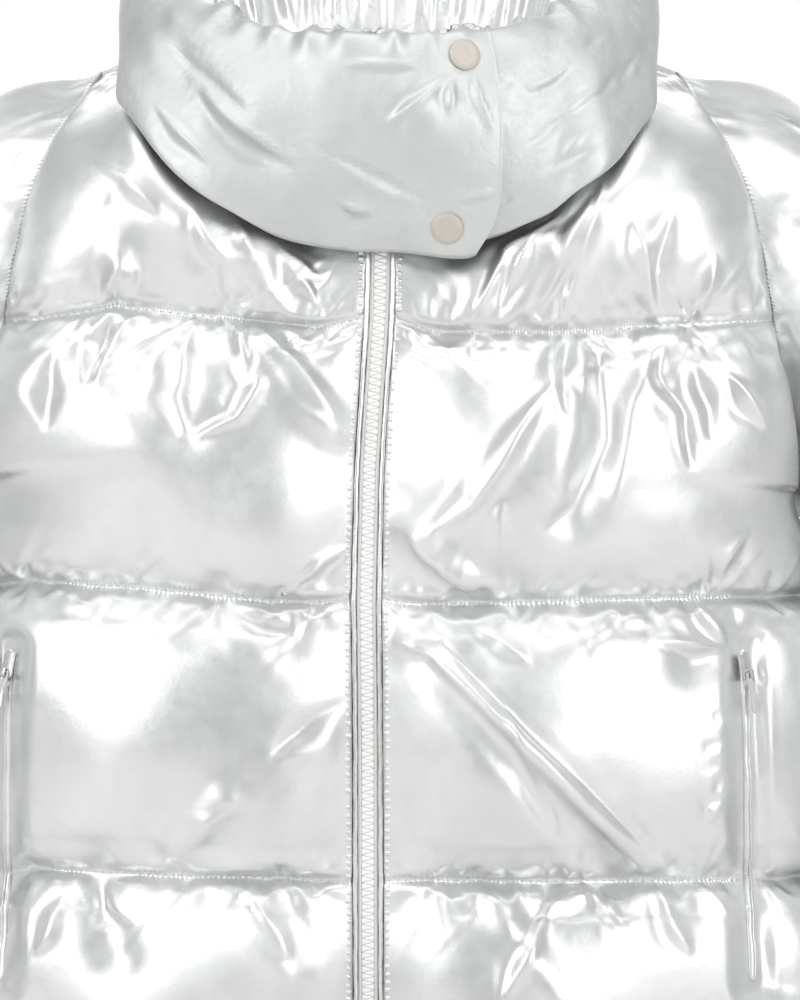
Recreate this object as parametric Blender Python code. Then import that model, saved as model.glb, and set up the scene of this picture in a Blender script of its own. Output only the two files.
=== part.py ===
"""A hip-length quilted puffer jacket with a snap-over funnel collar, filled out as when worn and hollow inside.

Metres, +Z up. The front faces -Y, and +X is the wearer's left. The origin lies between the shoulders, at the
level where the collar leaves the shoulder line.
"""

import math

import bmesh
import bpy
import numpy as np
from mathutils import Vector
from mathutils.bvhtree import BVHTree

MM = 0.001

# Cloth
SEAM_GAP = 0.3 * MM
HALF_WALL = 1.2 * MM
BODY_PUFF = 22 * MM
SLEEVE_PUFF = 18 * MM

# Heights of the quilting seams and of the hem
SEAM_HEIGHTS = (-0.143, -0.286, -0.428, -0.570, -0.700)
UNDERARM_HEIGHT = -0.235

# Torso before padding: height, half width at the side seam, depth of the front, depth of the back
TORSO = (
    (-0.098, 0.190, 0.112, 0.118),
    (-0.143, 0.198, 0.122, 0.126),
    (-0.235, 0.207, 0.135, 0.132),
    (-0.286, 0.221, 0.138, 0.131),
    (-0.428, 0.228, 0.140, 0.128),
    (-0.570, 0.228, 0.138, 0.127),
    (-0.700, 0.222, 0.132, 0.124),
)
CHEST_SQUARENESS = 2.5

# Raglan seam, from the shoulder to the underarm: height, distance from the middle, front y, back y
RAGLAN = (
    (-0.007, 0.153, 0.000, 0.000),
    (-0.051, 0.176, -0.055, 0.055),
    (-0.087, 0.188, -0.075, 0.080),
    (-0.140, 0.198, -0.078, 0.088),
    (-0.190, 0.204, -0.060, 0.068),
    (-0.225, 0.206, -0.030, 0.035),
    (-0.235, 0.207, 0.000, 0.000),
)

# Neckline
NECK_HALF_WIDTH = 0.105
NECK_SIDE_Y = 0.005
NECK_SIDE_HEIGHT = 0.014
NECK_FRONT_DROP = 0.112
NECK_FRONT_DEPTH = 0.117
NECK_BACK_DEPTH = 0.078
NECK_BACK_RISE = 0.006
NECK_ROUNDNESS = 2.2

# Centre front zip: height and distance of its middle from x = 0, then its half section in widths
ZIP_LINE = (
    (-0.098, -0.00375),
    (-0.143, -0.00475),
    (-0.195, -0.00825),
    (-0.220, -0.00975),
    (-0.286, -0.01125),
    (-0.360, -0.01050),
    (-0.700, -0.01000),
)
TEETH_HALF_WIDTH = 3.0 * MM
TAPE_HALF_WIDTH = 4.9 * MM
PIPING_INNER = 5.1 * MM
ZIP_HALF_WIDTH = 7.75 * MM
TEETH_RISE = 1.6 * MM
PIPING_RISE = 2.4 * MM
ZIP_TAPER = 11 * MM

# Collar
COLLAR_HALF_WIDTH = 0.1250
COLLAR_HEIGHT = 0.111
COLLAR_DROP = 0.110
COLLAR_ROUNDNESS = 2.9
COLLAR_BULGE = 14 * MM
COLLAR_RIM_FRONT = 0.136
COLLAR_RIM_BACK = 0.100
COLLAR_RIM_THICKNESS = 9 * MM
FLAP_END = 0.0535
FLAP_DROP = 9 * MM
FLAP_LIFTS = (6.5 * MM, 9.5 * MM)
FLAP_BEGINS = (math.radians(25), math.radians(35))
UNDER_THICKNESS = 7 * MM
UNDER_STEP = 7.5 * MM
LIP_STEP = 0.38 * MM
FOOT_CLEARANCE = 3.4 * MM
UNDER_CLEARANCE = 3.8 * MM
TOE_CLEARANCE = 5.5 * MM
RIM_ROUNDING = 3 * MM
GATHER_DEPTH = 2.2 * MM
SNAP_RADIUS = 8.25 * MM
SNAP_DIMPLE = 2.5 * MM
SNAP_PLACES = {"snap_cap_upper": (0.0380, -0.0112), "snap_cap_lower": (0.0296, -0.0982)}

# Collar's folds, seen from the front: start x and z, end x and z, width, height, all in metres
COLLAR_FOLDS = (
    (-0.100, 0.010, -0.052, -0.048, 0.010, 0.0050),
    (-0.098, -0.012, -0.058, -0.056, 0.009, -0.0045),
    (-0.022, -0.078, 0.012, -0.084, 0.008, 0.0035),
    (0.026, -0.030, 0.004, -0.052, 0.008, 0.0040),
    (0.066, -0.012, 0.092, -0.004, 0.009, 0.0035),
    (-0.050, -0.068, -0.022, -0.096, 0.009, -0.0035),
)

# Places along the collar's wall between its foot and its rim, outside going up and inside coming down
OUTER_SHARES = (0.16, 0.38, 0.62, 0.84)
INNER_SHARES = (0.72, 0.42, 0.16)

# Sleeve: centres and radii of the elbow ring and of the cuff, and the lean of the arm from the vertical
SHOULDER_SLOPE = math.radians(24)
ELBOW = (0.367, -0.012, -0.362)
ELBOW_RADIUS = 0.077
ELBOW_LEAN = math.radians(18)
CUFF = (0.418, -0.030, -0.622)
CUFF_RADIUS = 0.053
CUFF_LEAN = math.radians(8)

# Pocket: top and foot of the zip on the wearer's left, and its parts
POCKET_TOP = (0.1810, -0.312)
POCKET_FOOT = (0.1855, -0.481)
POCKET_FURTHER = {1: 0.0, -1: 0.012}
POCKET_HALF_WIDTH = 3.4 * MM
POCKET_RISE = 1.6 * MM
POCKET_ROWS = 36
POCKET_SEAT = 0.65 * MM
POCKET_PROFILE = ((-1.0, 0.0), (-0.75, 0.8), (0.0, 1.0), (0.75, 0.8), (1.0, 0.0), (0.0, 0.0))
POCKET_SLIDER_RISE = 9 * MM

# Sliders and pull tabs: across, down and out
ZIP_SLIDER_SIZE = (6.4 * MM, 9.5 * MM, 2.0 * MM)
SLIDER_SIZE = (6.4 * MM, 14.0 * MM, 2.2 * MM)
SLIDER_CORNER = 0.7 * MM
BAIL_WIDTH = 2.4 * MM
BAIL_HOLE = (3.0 * MM, 2.3 * MM)
BAIL_WALL = 0.8 * MM
BAIL_ROOT = 0.6 * MM
PULL_WIDTH = 5.0 * MM
PULL_LENGTH = 20.5 * MM
PULL_THICKNESS = 1.2 * MM
PULL_WINDOW = (3.6 * MM, 3.8 * MM)
PULL_WAIST = (4.6 * MM, 8.5 * MM)

# Finishes: linear colour, roughness, metallic
FOIL = ((0.62, 0.64, 0.63), 0.30, 0.9)
PIPING = ((0.66, 0.67, 0.67), 0.25, 0.8)
TAPE = ((0.70, 0.70, 0.69), 0.55, 0.0)
SNAP_METAL = ((0.60, 0.56, 0.51), 0.35, 0.9)
SLIDER_METAL = ((0.62, 0.62, 0.61), 0.30, 1.0)

# Quilting rows between two seams, as shares of the way from one to the next
PUFF_ROWS = (0.0, 0.11, 0.35, 0.65, 0.89, 1.0)
SLEEVE_ROWS = (0.0, 0.11, 0.34, 0.66, 0.89, 1.0)
YOKE_ROWS = (0.0, 0.14, 0.30, 0.46, 0.62, 0.77, 0.90, 1.0)
YOKE_NECK_ROW = 5
UNDERARM_ROWS = (0.0, 0.10, 0.28, 0.46, 0.643, 0.84, 1.0)
UNDERARM_ROW = 4
FRONT_COLUMNS = 12
SHOULDER_COLUMNS = 3
BACK_NECK_COLUMNS = 12
COLLAR_STEPS = 4

# Largest folds: side, start x and z, end x and z, width, height (ridges are positive), all in metres
FRONT_FOLDS = (
    (1, 0.010, -0.306, 0.130, -0.420, 0.009, 0.0060),
    (1, 0.018, -0.315, 0.110, -0.425, 0.008, -0.0050),
    (1, 0.085, -0.168, 0.012, -0.255, 0.010, 0.0060),
    (1, 0.110, -0.160, 0.088, -0.245, 0.012, -0.0060),
    (1, 0.008, -0.250, 0.050, -0.284, 0.009, 0.0050),
    (1, 0.100, -0.080, 0.058, -0.138, 0.010, 0.0050),
    (1, 0.084, -0.098, 0.050, -0.140, 0.008, -0.0045),
    (1, 0.148, -0.320, 0.178, -0.312, 0.012, -0.0060),
    (1, 0.055, -0.440, 0.085, -0.490, 0.010, 0.0050),
    (-1, -0.140, -0.146, -0.135, -0.125, 0.010, 0.0050),
    (-1, -0.070, -0.152, -0.025, -0.200, 0.010, 0.0055),
    (-1, -0.150, -0.160, -0.100, -0.205, 0.013, -0.0060),
    (-1, -0.085, -0.290, -0.050, -0.300, 0.010, -0.0050),
    (-1, -0.104, -0.412, -0.080, -0.390, 0.010, 0.0050),
    (-1, -0.145, -0.430, -0.130, -0.470, 0.011, -0.0050),
    (-1, -0.070, -0.434, -0.050, -0.475, 0.010, 0.0050),
)
BACK_FOLDS = (
    (0, -0.120, -0.160, -0.060, -0.250, 0.012, 0.0055),
    (0, 0.050, -0.155, 0.110, -0.235, 0.012, -0.0055),
    (0, -0.150, -0.310, -0.050, -0.400, 0.012, -0.0050),
    (0, 0.020, -0.300, 0.130, -0.395, 0.011, 0.0055),
    (0, -0.060, -0.450, -0.110, -0.540, 0.012, 0.0050),
    (0, 0.080, -0.440, 0.060, -0.540, 0.012, -0.0050),
    (0, -0.050, -0.580, 0.010, -0.670, 0.012, 0.0050),
)


def column(table, key, index):
    """The table's value in one column at a height, read between its rows."""
    rows = sorted(table)
    return float(np.interp(key, [row[0] for row in rows], [row[index] for row in rows]))


def unit(vectors):
    length = np.linalg.norm(vectors, axis=-1, keepdims=True)
    return vectors / np.maximum(length, 1e-12)


def resampled(points, count):
    """A polyline's points again, evenly spaced along it."""
    steps = np.linalg.norm(np.diff(points, axis=0), axis=1)
    along = np.concatenate([[0.0], np.cumsum(steps)])
    wanted = np.linspace(0.0, along[-1], count + 1)
    return np.stack([np.interp(wanted, along, points[:, axis]) for axis in range(3)], axis=1)


def read_at(points, shares):
    """Points at these shares of a polyline's length."""
    steps = np.linalg.norm(np.diff(points, axis=0), axis=1)
    along = np.concatenate([[0.0], np.cumsum(steps)])
    wanted = np.asarray(shares) * along[-1]
    return np.stack([np.interp(wanted, along, points[:, axis]) for axis in range(3)], axis=1)


def rounded_arc(inner, outer):
    """A quarter of a squarish oval, in plan, from the middle of the body to its side."""
    angle = np.linspace(0.0, math.pi / 2, 60)
    power = 2.0 / CHEST_SQUARENESS
    across = np.sin(angle) ** power
    deep = np.cos(angle) ** power
    x = inner[0] + (outer[0] - inner[0]) * across
    y = outer[1] + (inner[1] - outer[1]) * deep
    z = inner[2] + (outer[2] - inner[2]) * np.linspace(0.0, 1.0, len(angle))
    return np.stack([x, y, z], axis=1)


def neckline(angle):
    """A point of the collar seam: 0 at the front middle, a right angle at the wearer's left, a half turn behind."""
    side, front = math.sin(angle), math.cos(angle)
    x = NECK_HALF_WIDTH * side
    if front > 0.0:
        share = max(0.0, 1.0 - abs(side) ** NECK_ROUNDNESS) ** (1.0 / NECK_ROUNDNESS)
        return (x, NECK_SIDE_Y - NECK_FRONT_DEPTH * front, NECK_SIDE_HEIGHT - NECK_FRONT_DROP * share)
    return (x, NECK_SIDE_Y - NECK_BACK_DEPTH * front, NECK_SIDE_HEIGHT - NECK_BACK_RISE * front)


def raglan_curve(y_index):
    """The sleeve seam on the wearer's left, smoothed between the table's rows."""
    points = np.array([(row[1], row[y_index], row[0]) for row in RAGLAN])
    knots = np.arange(len(points), dtype=float)
    slopes = np.gradient(points, axis=0)
    fine = np.linspace(0.0, knots[-1], 97)
    result = []
    for knot in fine:
        first = min(int(knot), len(points) - 2)
        t = knot - first
        start, end = points[first], points[first + 1]
        pull, push = slopes[first], slopes[first + 1]
        h1 = 2 * t**3 - 3 * t**2 + 1
        h2 = t**3 - 2 * t**2 + t
        h3 = 3 * t**2 - 2 * t**3
        h4 = t**3 - t**2
        result.append(h1 * start + h2 * pull + h3 * end + h4 * push)
    return np.array(result)


def raglan_rows(y_index):
    """The seam's points at the rows of the yoke and of the rows down to the underarm."""
    curve = raglan_curve(y_index)
    split = int(np.argmin(np.abs(curve[:70, 2] - SEAM_HEIGHTS[0])))
    upper = read_at(curve[: split + 1], YOKE_ROWS)
    shares = np.array(UNDERARM_ROWS[: UNDERARM_ROW + 1]) / UNDERARM_ROWS[UNDERARM_ROW]
    lower = read_at(curve[split:], shares)
    return upper, lower


def coons(top, bottom, left, right):
    """A smooth patch between four edges; left and right run from top to bottom."""
    columns = len(top)
    steps = np.linalg.norm(np.diff(right, axis=0), axis=1)
    v = np.concatenate([[0.0], np.cumsum(steps)]) / steps.sum()
    u = np.linspace(0.0, 1.0, columns)[None, :, None]
    v = v[:, None, None]
    ruled_down = (1 - v) * top[None] + v * bottom[None]
    ruled_across = (1 - u) * left[:, None] + u * right[:, None]
    corners = (1 - u) * (1 - v) * top[0] + u * (1 - v) * top[-1]
    corners = corners + (1 - u) * v * bottom[0] + u * v * bottom[-1]
    return ruled_down + ruled_across - corners


def lower_heights():
    """Heights of the rows under the first seam, with each row's share of its quilting channel."""
    heights, shares = [], []
    for number in range(len(SEAM_HEIGHTS) - 1):
        rows = UNDERARM_ROWS if number == 0 else PUFF_ROWS
        above, below = SEAM_HEIGHTS[number], SEAM_HEIGHTS[number + 1]
        for share in rows[1:]:
            heights.append(above + (below - above) * share)
            shares.append(share)
    return heights, shares


def side_point(height, rows_on_raglan, number):
    if number < UNDERARM_ROW:
        return rows_on_raglan[number + 1]
    return np.array((column(TORSO, height, 1), 0.0, height))


def front_grid(side):
    """Base points of a front panel, from the shoulder line to the hem and from the zip to the side."""
    on_yoke, on_raglan = raglan_rows(2)
    edge = side * ZIP_HALF_WIDTH

    def zip_edge(height):
        middle = column(ZIP_LINE, height, 1) + edge
        return np.array((side * middle, -column(TORSO, height, 2), height))

    first_angle = math.asin(zip_edge(-0.098)[0] / NECK_HALF_WIDTH)
    angles = np.linspace(math.pi / 2, first_angle, YOKE_NECK_ROW + 1)
    left = [neckline(angle) for angle in angles]
    corner_height = left[-1][2]
    for share in (0.5, 1.0):
        height = corner_height + (SEAM_HEIGHTS[0] - corner_height) * share
        left.append(tuple(zip_edge(height)))
    left = np.array(left)
    left[YOKE_NECK_ROW][1] = -column(TORSO, corner_height, 2)
    top = np.linspace(left[0], on_yoke[0], FRONT_COLUMNS + 1)
    seam = resampled(rounded_arc(left[-1], on_yoke[-1]), FRONT_COLUMNS)
    rows = list(coons(top, seam, left, on_yoke))
    heights, shares = lower_heights()
    for number, height in enumerate(heights):
        outer = side_point(height, on_raglan, number)
        rows.append(resampled(rounded_arc(zip_edge(height), outer), FRONT_COLUMNS))
    grid = np.array(rows)
    if side < 0:
        grid = grid * np.array((-1.0, 1.0, 1.0))
    return grid, list(YOKE_ROWS) + shares


def back_grid():
    """Base points of the back, from the wearer's right sleeve seam round to the left one."""
    on_yoke, on_raglan = raglan_rows(3)
    mirror = np.array((-1.0, 1.0, 1.0))
    neck_side = np.array(neckline(math.pi / 2))
    shoulder = np.linspace(on_yoke[0], neck_side, SHOULDER_COLUMNS + 1)
    angles = np.linspace(-math.pi / 2, -3 * math.pi / 2, BACK_NECK_COLUMNS + 1)
    neck = np.array([neckline(angle) for angle in angles])
    top = np.concatenate([shoulder[:-1] * mirror, neck, shoulder[::-1][1:]])
    columns = len(top) - 1

    def row_between(outer, height):
        middle = np.array((0.0, column(TORSO, height, 3), height))
        half = rounded_arc(middle, outer)
        whole = np.concatenate([half[::-1] * mirror, half[1:]])
        return resampled(whole, columns)

    seam = row_between(on_yoke[-1], SEAM_HEIGHTS[0])
    rows = list(coons(top, seam, on_yoke * mirror, on_yoke))
    heights, shares = lower_heights()
    for number, height in enumerate(heights):
        rows.append(row_between(side_point(height, on_raglan, number), height))
    return np.array(rows), list(YOKE_ROWS) + shares


def hermite(start, start_pull, end, end_pull, shares):
    t = np.asarray(shares)[:, None, None]
    h1 = 2 * t**3 - 3 * t**2 + 1
    h2 = t**3 - 2 * t**2 + t
    h3 = 3 * t**2 - 2 * t**3
    h4 = t**3 - t**2
    return h1 * start + h2 * start_pull + h3 * end + h4 * end_pull


def arm_ring(centre, radius, lean, angles):
    out = np.array((math.cos(lean), 0.0, math.sin(lean)))
    front = np.array((0.0, -1.0, 0.0))
    turned = np.cos(angles)[:, None] * out + np.sin(angles)[:, None] * front
    return np.array(centre) + radius * turned


def sleeve_grid():
    """Base points of the wearer's left sleeve: rings from the raglan seam to the cuff, columns from the top
    of the shoulder over the front, the underarm and the back."""
    front = np.concatenate([raglan_rows(2)[0], raglan_rows(2)[1][1:]])
    back = np.concatenate([raglan_rows(3)[0], raglan_rows(3)[1][1:]])
    loop = np.concatenate([front, back[::-1][1:-1]])
    half = len(front) - 1
    angles = np.arange(2 * half) * math.pi / half
    over = (1 - np.cos(angles))[:, None] / 2
    along_top = np.array((math.cos(SHOULDER_SLOPE), 0.0, -math.sin(SHOULDER_SLOPE)))
    along_under = np.array((0.92, 0.0, -0.39))
    leave = unit((1 - over) * along_top + over * along_under)
    upper_arm = np.array((math.sin(ELBOW_LEAN), 0.0, -math.cos(ELBOW_LEAN)))
    forearm = np.array((math.sin(CUFF_LEAN), -0.08, -math.cos(CUFF_LEAN)))
    elbow = arm_ring(ELBOW, ELBOW_RADIUS, ELBOW_LEAN, angles)
    cuff = arm_ring(CUFF, CUFF_RADIUS, CUFF_LEAN, angles)
    upper_length = np.linalg.norm(elbow - loop, axis=1, keepdims=True)
    lower_length = np.linalg.norm(cuff - elbow, axis=1, keepdims=True)
    upper_shares = [(number + share) / 3 for number in range(3) for share in SLEEVE_ROWS[:-1]]
    lower_shares = [(number + share) / 2 for number in range(2) for share in SLEEVE_ROWS[:-1]]
    upper = hermite(loop, leave * upper_length, elbow, upper_arm * upper_length, upper_shares)
    lower = hermite(elbow, upper_arm * lower_length, cuff, forearm * lower_length, lower_shares + [1.0])
    shares = list(SLEEVE_ROWS[:-1]) * 5 + [1.0]
    return np.concatenate([upper, lower]), shares


def grid_normals(grid, closed):
    """Unit normals of a grid's surface, not yet turned outward."""
    if closed:
        padded = np.concatenate([grid[:, -1:], grid, grid[:, :1]], axis=1)
        across = (padded[:, 2:] - padded[:, :-2]) / 2
    else:
        across = np.gradient(grid, axis=1)
    down = np.gradient(grid, axis=0)
    return unit(np.cross(down, across))


def outward(grid, normals, closed):
    """Normals turned away from the sleeve's or the body's middle."""
    if closed:
        middle = grid.mean(axis=1, keepdims=True)
        away = grid - middle
    else:
        away = grid * np.array((1.0, 1.6, 0.0)) + np.array((0.0, 0.0, 0.08))
    turn = np.sign((normals * away).sum(axis=(0, 1, 2)))
    return normals * turn


class Panel:
    """A wall of cloth: base points, normals, and the height of its padded outer side over them."""

    def __init__(self, name, grid, shares, closed=False):
        self.name = name
        self.grid = grid
        self.shares = np.array(shares)
        self.closed = closed
        self.normals = outward(grid, grid_normals(grid, closed), closed)
        self.puff = np.zeros(grid.shape[:2])

    def inset(self):
        """Base points drawn back by half a seam gap, square to every open edge."""
        points = self.grid.copy()
        half = SEAM_GAP / 2 + 0.02 * MM
        edges = [(np.s_[0], np.s_[1]), (np.s_[-1], np.s_[-2])]
        if not self.closed:
            edges += [(np.s_[:, 0], np.s_[:, 1]), (np.s_[:, -1], np.s_[:, -2])]
        for edge, beside in edges:
            rim = self.grid[edge]
            if self.closed:
                along = np.roll(rim, -1, axis=0) - np.roll(rim, 1, axis=0)
            else:
                along = np.gradient(rim, axis=0)
            square = unit(np.cross(self.normals[edge], along))
            turn = np.sign((square * unit(self.grid[beside] - rim)).sum())
            points[edge] += square * turn * half
        return points

    def outer(self):
        return self.inset() + self.normals * (HALF_WALL + self.puff)[..., None]

    def inner(self):
        return self.inset() - self.normals * HALF_WALL


def share_normals(panels):
    """Seams that panels share get one normal, so that their rims stay side by side."""
    found = {}
    for panel in panels:
        for index in np.ndindex(panel.grid.shape[:2]):
            key = tuple(np.round(panel.grid[index] / (0.05 * MM)).astype(int))
            found.setdefault(key, []).append((panel, index))
    for places in found.values():
        if len({id(panel) for panel, _ in places}) < 2:
            continue
        total = unit(sum(panel.normals[index] for panel, index in places))
        for panel, index in places:
            panel.normals[index] = total


def level_shoulder_normals(panels):
    """Along the straight shoulder seams the normals turn evenly from end to end, on both sides alike."""
    for panel, first, last in panels:
        start, end = panel.normals[0, first].copy(), panel.normals[0, last].copy()
        count = abs(last - first)
        step = 1 if last > first else -1
        for number in range(count + 1):
            share = number / count
            panel.normals[0, first + step * number] = unit(start * (1 - share) + end * share)


def channel(shares, power=0.52):
    """A quilting channel's height over its width, from 0 at a seam to 1 in its middle."""
    return np.sin(np.pi * np.clip(shares, 0.0, 1.0)) ** power


def rise(distance, reach):
    """0 at an edge, 1 once the reach is passed, smooth between."""
    t = np.clip(distance / reach, 0.0, 1.0)
    return np.sin(t * math.pi / 2)


def unevenness(grid, seed):
    """A slow wave over the padding, so that no two stretches of a channel are alike."""
    x, y, z = grid[..., 0], grid[..., 1], grid[..., 2]
    wave = np.sin(31 * x + 17 * z + seed) * np.sin(23 * z - 19 * y + 2 * seed)
    return 1.0 + 0.16 * wave + 0.07 * np.sin(67 * x - 41 * z + 3 * seed)


def folds_over(grid, folds, side):
    """Heights of the largest folds, as soft ridges and troughs along straight stretches."""
    total = np.zeros(grid.shape[:2])
    points = grid[..., [0, 2]]
    for fold_side, x0, z0, x1, z1, width, height in folds:
        if fold_side != side:
            continue
        start, end = np.array((x0, z0)), np.array((x1, z1))
        along = end - start
        t = ((points - start) @ along) / (along @ along)
        nearest = start + np.clip(t, 0.0, 1.0)[..., None] * along
        apart = np.linalg.norm(points - nearest, axis=-1)
        total += height * np.exp(-((apart / width) ** 2))
    return total


def segment_distance(points, start, end):
    start, end = np.array(start), np.array(end)
    along = end - start
    t = np.clip(((points - start) @ along) / (along @ along), 0.0, 1.0)
    return np.linalg.norm(points - (start + t[..., None] * along), axis=-1)


def pocket_line(side):
    """Top and foot of one side's pocket zip, as places across and up."""
    return [(side * (x + POCKET_FURTHER[side]), z) for x, z in (POCKET_TOP, POCKET_FOOT)]


def body_height(panel, side):
    """The padding's height over a front or the back."""
    grid = panel.grid
    x, y, z = grid[..., 0], grid[..., 1], grid[..., 2]
    height = BODY_PUFF * channel(panel.shares)[:, None] * unevenness(grid, 1.3 + side)
    height = height * (0.85 + 0.15 * (z < SEAM_HEIGHTS[0]))
    to_side = np.linalg.norm(grid - grid[:, -1:], axis=-1)
    low = 0.06 + 0.24 * (grid[:, -1:, 2] < UNDERARM_HEIGHT - 1.0 * MM)
    height *= low + (1.0 - low) * rise(to_side, 0.055)
    if side:
        to_edge = np.linalg.norm(grid - grid[:, :1], axis=-1)
        height *= 0.22 + 0.78 * rise(to_edge, 0.050)
    else:
        to_edge = np.linalg.norm(grid - grid[:, :1], axis=-1)
        height *= low + (1.0 - low) * rise(to_edge, 0.055)
    underarm = np.array((0.207, 0.0, UNDERARM_HEIGHT))
    apart = np.linalg.norm(np.abs(grid) * (1, 1, -1) - underarm * (1, 1, 1), axis=-1)
    height *= rise(apart - 0.012, 0.075)
    shoulder = np.linalg.norm(grid[..., [0, 2]] - grid[:1, :, [0, 2]], axis=-1) + np.abs(y - grid[:1, :, 1])
    height *= 0.25 + 0.75 * rise(shoulder, 0.050)
    neck = np.array([neckline(angle) for angle in np.linspace(-math.pi, math.pi, 181)])
    to_neck = np.linalg.norm(grid[:, :, None] - neck[None, None], axis=-1).min(axis=2)
    height *= rise(to_neck - 0.014, 0.034)
    folds = folds_over(grid, FRONT_FOLDS if side else BACK_FOLDS, side)
    height += folds * np.clip(height / (0.5 * BODY_PUFF), 0.0, 1.0)
    if side:
        apart = segment_distance(grid[..., [0, 2]], *pocket_line(side))
        height *= 1.0 - 0.55 * np.exp(-((apart / 0.012) ** 2))
    return np.maximum(height, 0.0)


def sleeve_height(panel, seed):
    """The padding's height over a sleeve: lower where the channels crowd together under the arm."""
    grid = panel.grid
    rows = len(SLEEVE_ROWS) - 1
    height = np.zeros(grid.shape[:2])
    for number in range(5):
        first, last = number * rows, (number + 1) * rows
        width = np.linalg.norm(grid[last] - grid[first], axis=-1)
        tall = np.minimum(SLEEVE_PUFF, 0.15 * width)
        profile = channel(np.array(SLEEVE_ROWS))[:, None]
        height[first : last + 1] = np.maximum(height[first : last + 1], profile * tall)
    height *= unevenness(grid, seed)
    underarm = grid[0, grid.shape[1] // 2]
    height *= rise(np.linalg.norm(grid - underarm, axis=-1) - 0.012, 0.075)
    to_loop = np.linalg.norm(grid - grid[:1], axis=-1)
    return height * (0.06 + 0.94 * rise(to_loop, 0.060))


def material(name, colour, roughness, metallic):
    made = bpy.data.materials.new(name)
    made.use_nodes = True
    shader = made.node_tree.nodes["Principled BSDF"]
    shader.inputs["Base Color"].default_value = (*colour, 1.0)
    shader.inputs["Roughness"].default_value = roughness
    shader.inputs["Metallic"].default_value = metallic
    made.diffuse_color = (*colour, 1.0)
    return made


def add_object(name, points, faces, finish):
    """A named object from points and faces, its faces turned outward."""
    mesh = bpy.data.meshes.new(name)
    mesh.from_pydata([tuple(map(float, point)) for point in points], [], faces)
    made = bpy.data.objects.new(name, mesh)
    bpy.context.scene.collection.objects.link(made)
    mesh.materials.append(material(name, *finish))
    work = bmesh.new()
    work.from_mesh(mesh)
    bmesh.ops.triangulate(work, faces=work.faces[:])
    bmesh.ops.recalc_face_normals(work, faces=work.faces[:])
    if work.calc_volume(signed=True) < 0.0:
        bmesh.ops.reverse_faces(work, faces=work.faces[:])
    work.to_mesh(mesh)
    work.free()
    mesh.shade_smooth()
    mesh.set_sharp_from_angle(angle=math.radians(35))
    return made


def wall_solid(panel, finish):
    """One closed wall: the padded outer side, the plain inner side and the rims between them."""
    outer, inner = panel.outer(), panel.inner()
    rows, columns = outer.shape[:2]
    points = np.concatenate([outer.reshape(-1, 3), inner.reshape(-1, 3)])
    size = rows * columns

    def at(row, col, layer):
        return layer * size + row * columns + col % columns

    faces = []
    spans = columns if panel.closed else columns - 1
    for row in range(rows - 1):
        for col in range(spans):
            near, far = at(row, col, 0), at(row, col + 1, 0)
            below, beyond = at(row + 1, col, 0), at(row + 1, col + 1, 0)
            faces += [(near, below, beyond), (near, beyond, far)]
            near, far = near + size, far + size
            below, beyond = below + size, beyond + size
            faces += [(near, beyond, below), (near, far, beyond)]
    for col in range(spans):
        for row, order in ((0, 1), (rows - 1, -1)):
            rim = (at(row, col, 0), at(row, col + 1, 0), at(row, col + 1, 1), at(row, col, 1))
            faces.append(rim[::order])
    if not panel.closed:
        for row in range(rows - 1):
            for col, order in ((0, -1), (columns - 1, 1)):
                rim = (at(row, col, 0), at(row + 1, col, 0), at(row + 1, col, 1), at(row, col, 1))
                faces.append(rim[::-order])
    return add_object(panel.name, points, faces, finish)


def loft(name, sections, finish, closed=False):
    """A solid skinned over sections of equal length, capped at both ends unless it closes on itself."""
    sections = np.array(sections)
    count, size = sections.shape[:2]
    faces = []
    for number in range(count if closed else count - 1):
        following = (number + 1) % count
        for corner in range(size):
            after = (corner + 1) % size
            a, b = number * size + corner, number * size + after
            c, d = following * size + after, following * size + corner
            faces += [(a, b, c), (a, c, d)]
    if not closed:
        faces.append(tuple(range(size))[::-1])
        faces.append(tuple((count - 1) * size + corner for corner in range(size)))
    return add_object(name, sections.reshape(-1, 3), faces, finish)


def surface_of(objects):
    """The outer skins of some objects as one surface to place things on."""
    points, faces = [], []
    for made in objects:
        first = len(points)
        points += [vertex.co.copy() for vertex in made.data.vertices]
        faces += [[first + index for index in face.vertices] for face in made.data.polygons]
    return BVHTree.FromPolygons(points, faces, epsilon=0.0)


def zip_heights():
    corner = neckline(0.0)[2] - 0.3 * MM
    middle = (corner + SEAM_HEIGHTS[0]) / 2
    return [corner, corner - ZIP_TAPER, middle, SEAM_HEIGHTS[0]] + lower_heights()[0]


def zip_strip(name, side, profile, finish):
    """One strip along the centre front: its profile is across from the zip's middle, then out from the cloth."""
    sections = []
    for height in zip_heights():
        middle = column(ZIP_LINE, height, 1)
        plane = -column(TORSO, height, 2)
        full = 1.0 if sections else 0.15
        section = []
        for across, out in profile:
            out = HALF_WALL + (out - HALF_WALL) * full if out > HALF_WALL else out
            section.append((middle + side * across, plane - out, height))
        sections.append(section)
    return loft(name, sections, finish)


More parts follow.
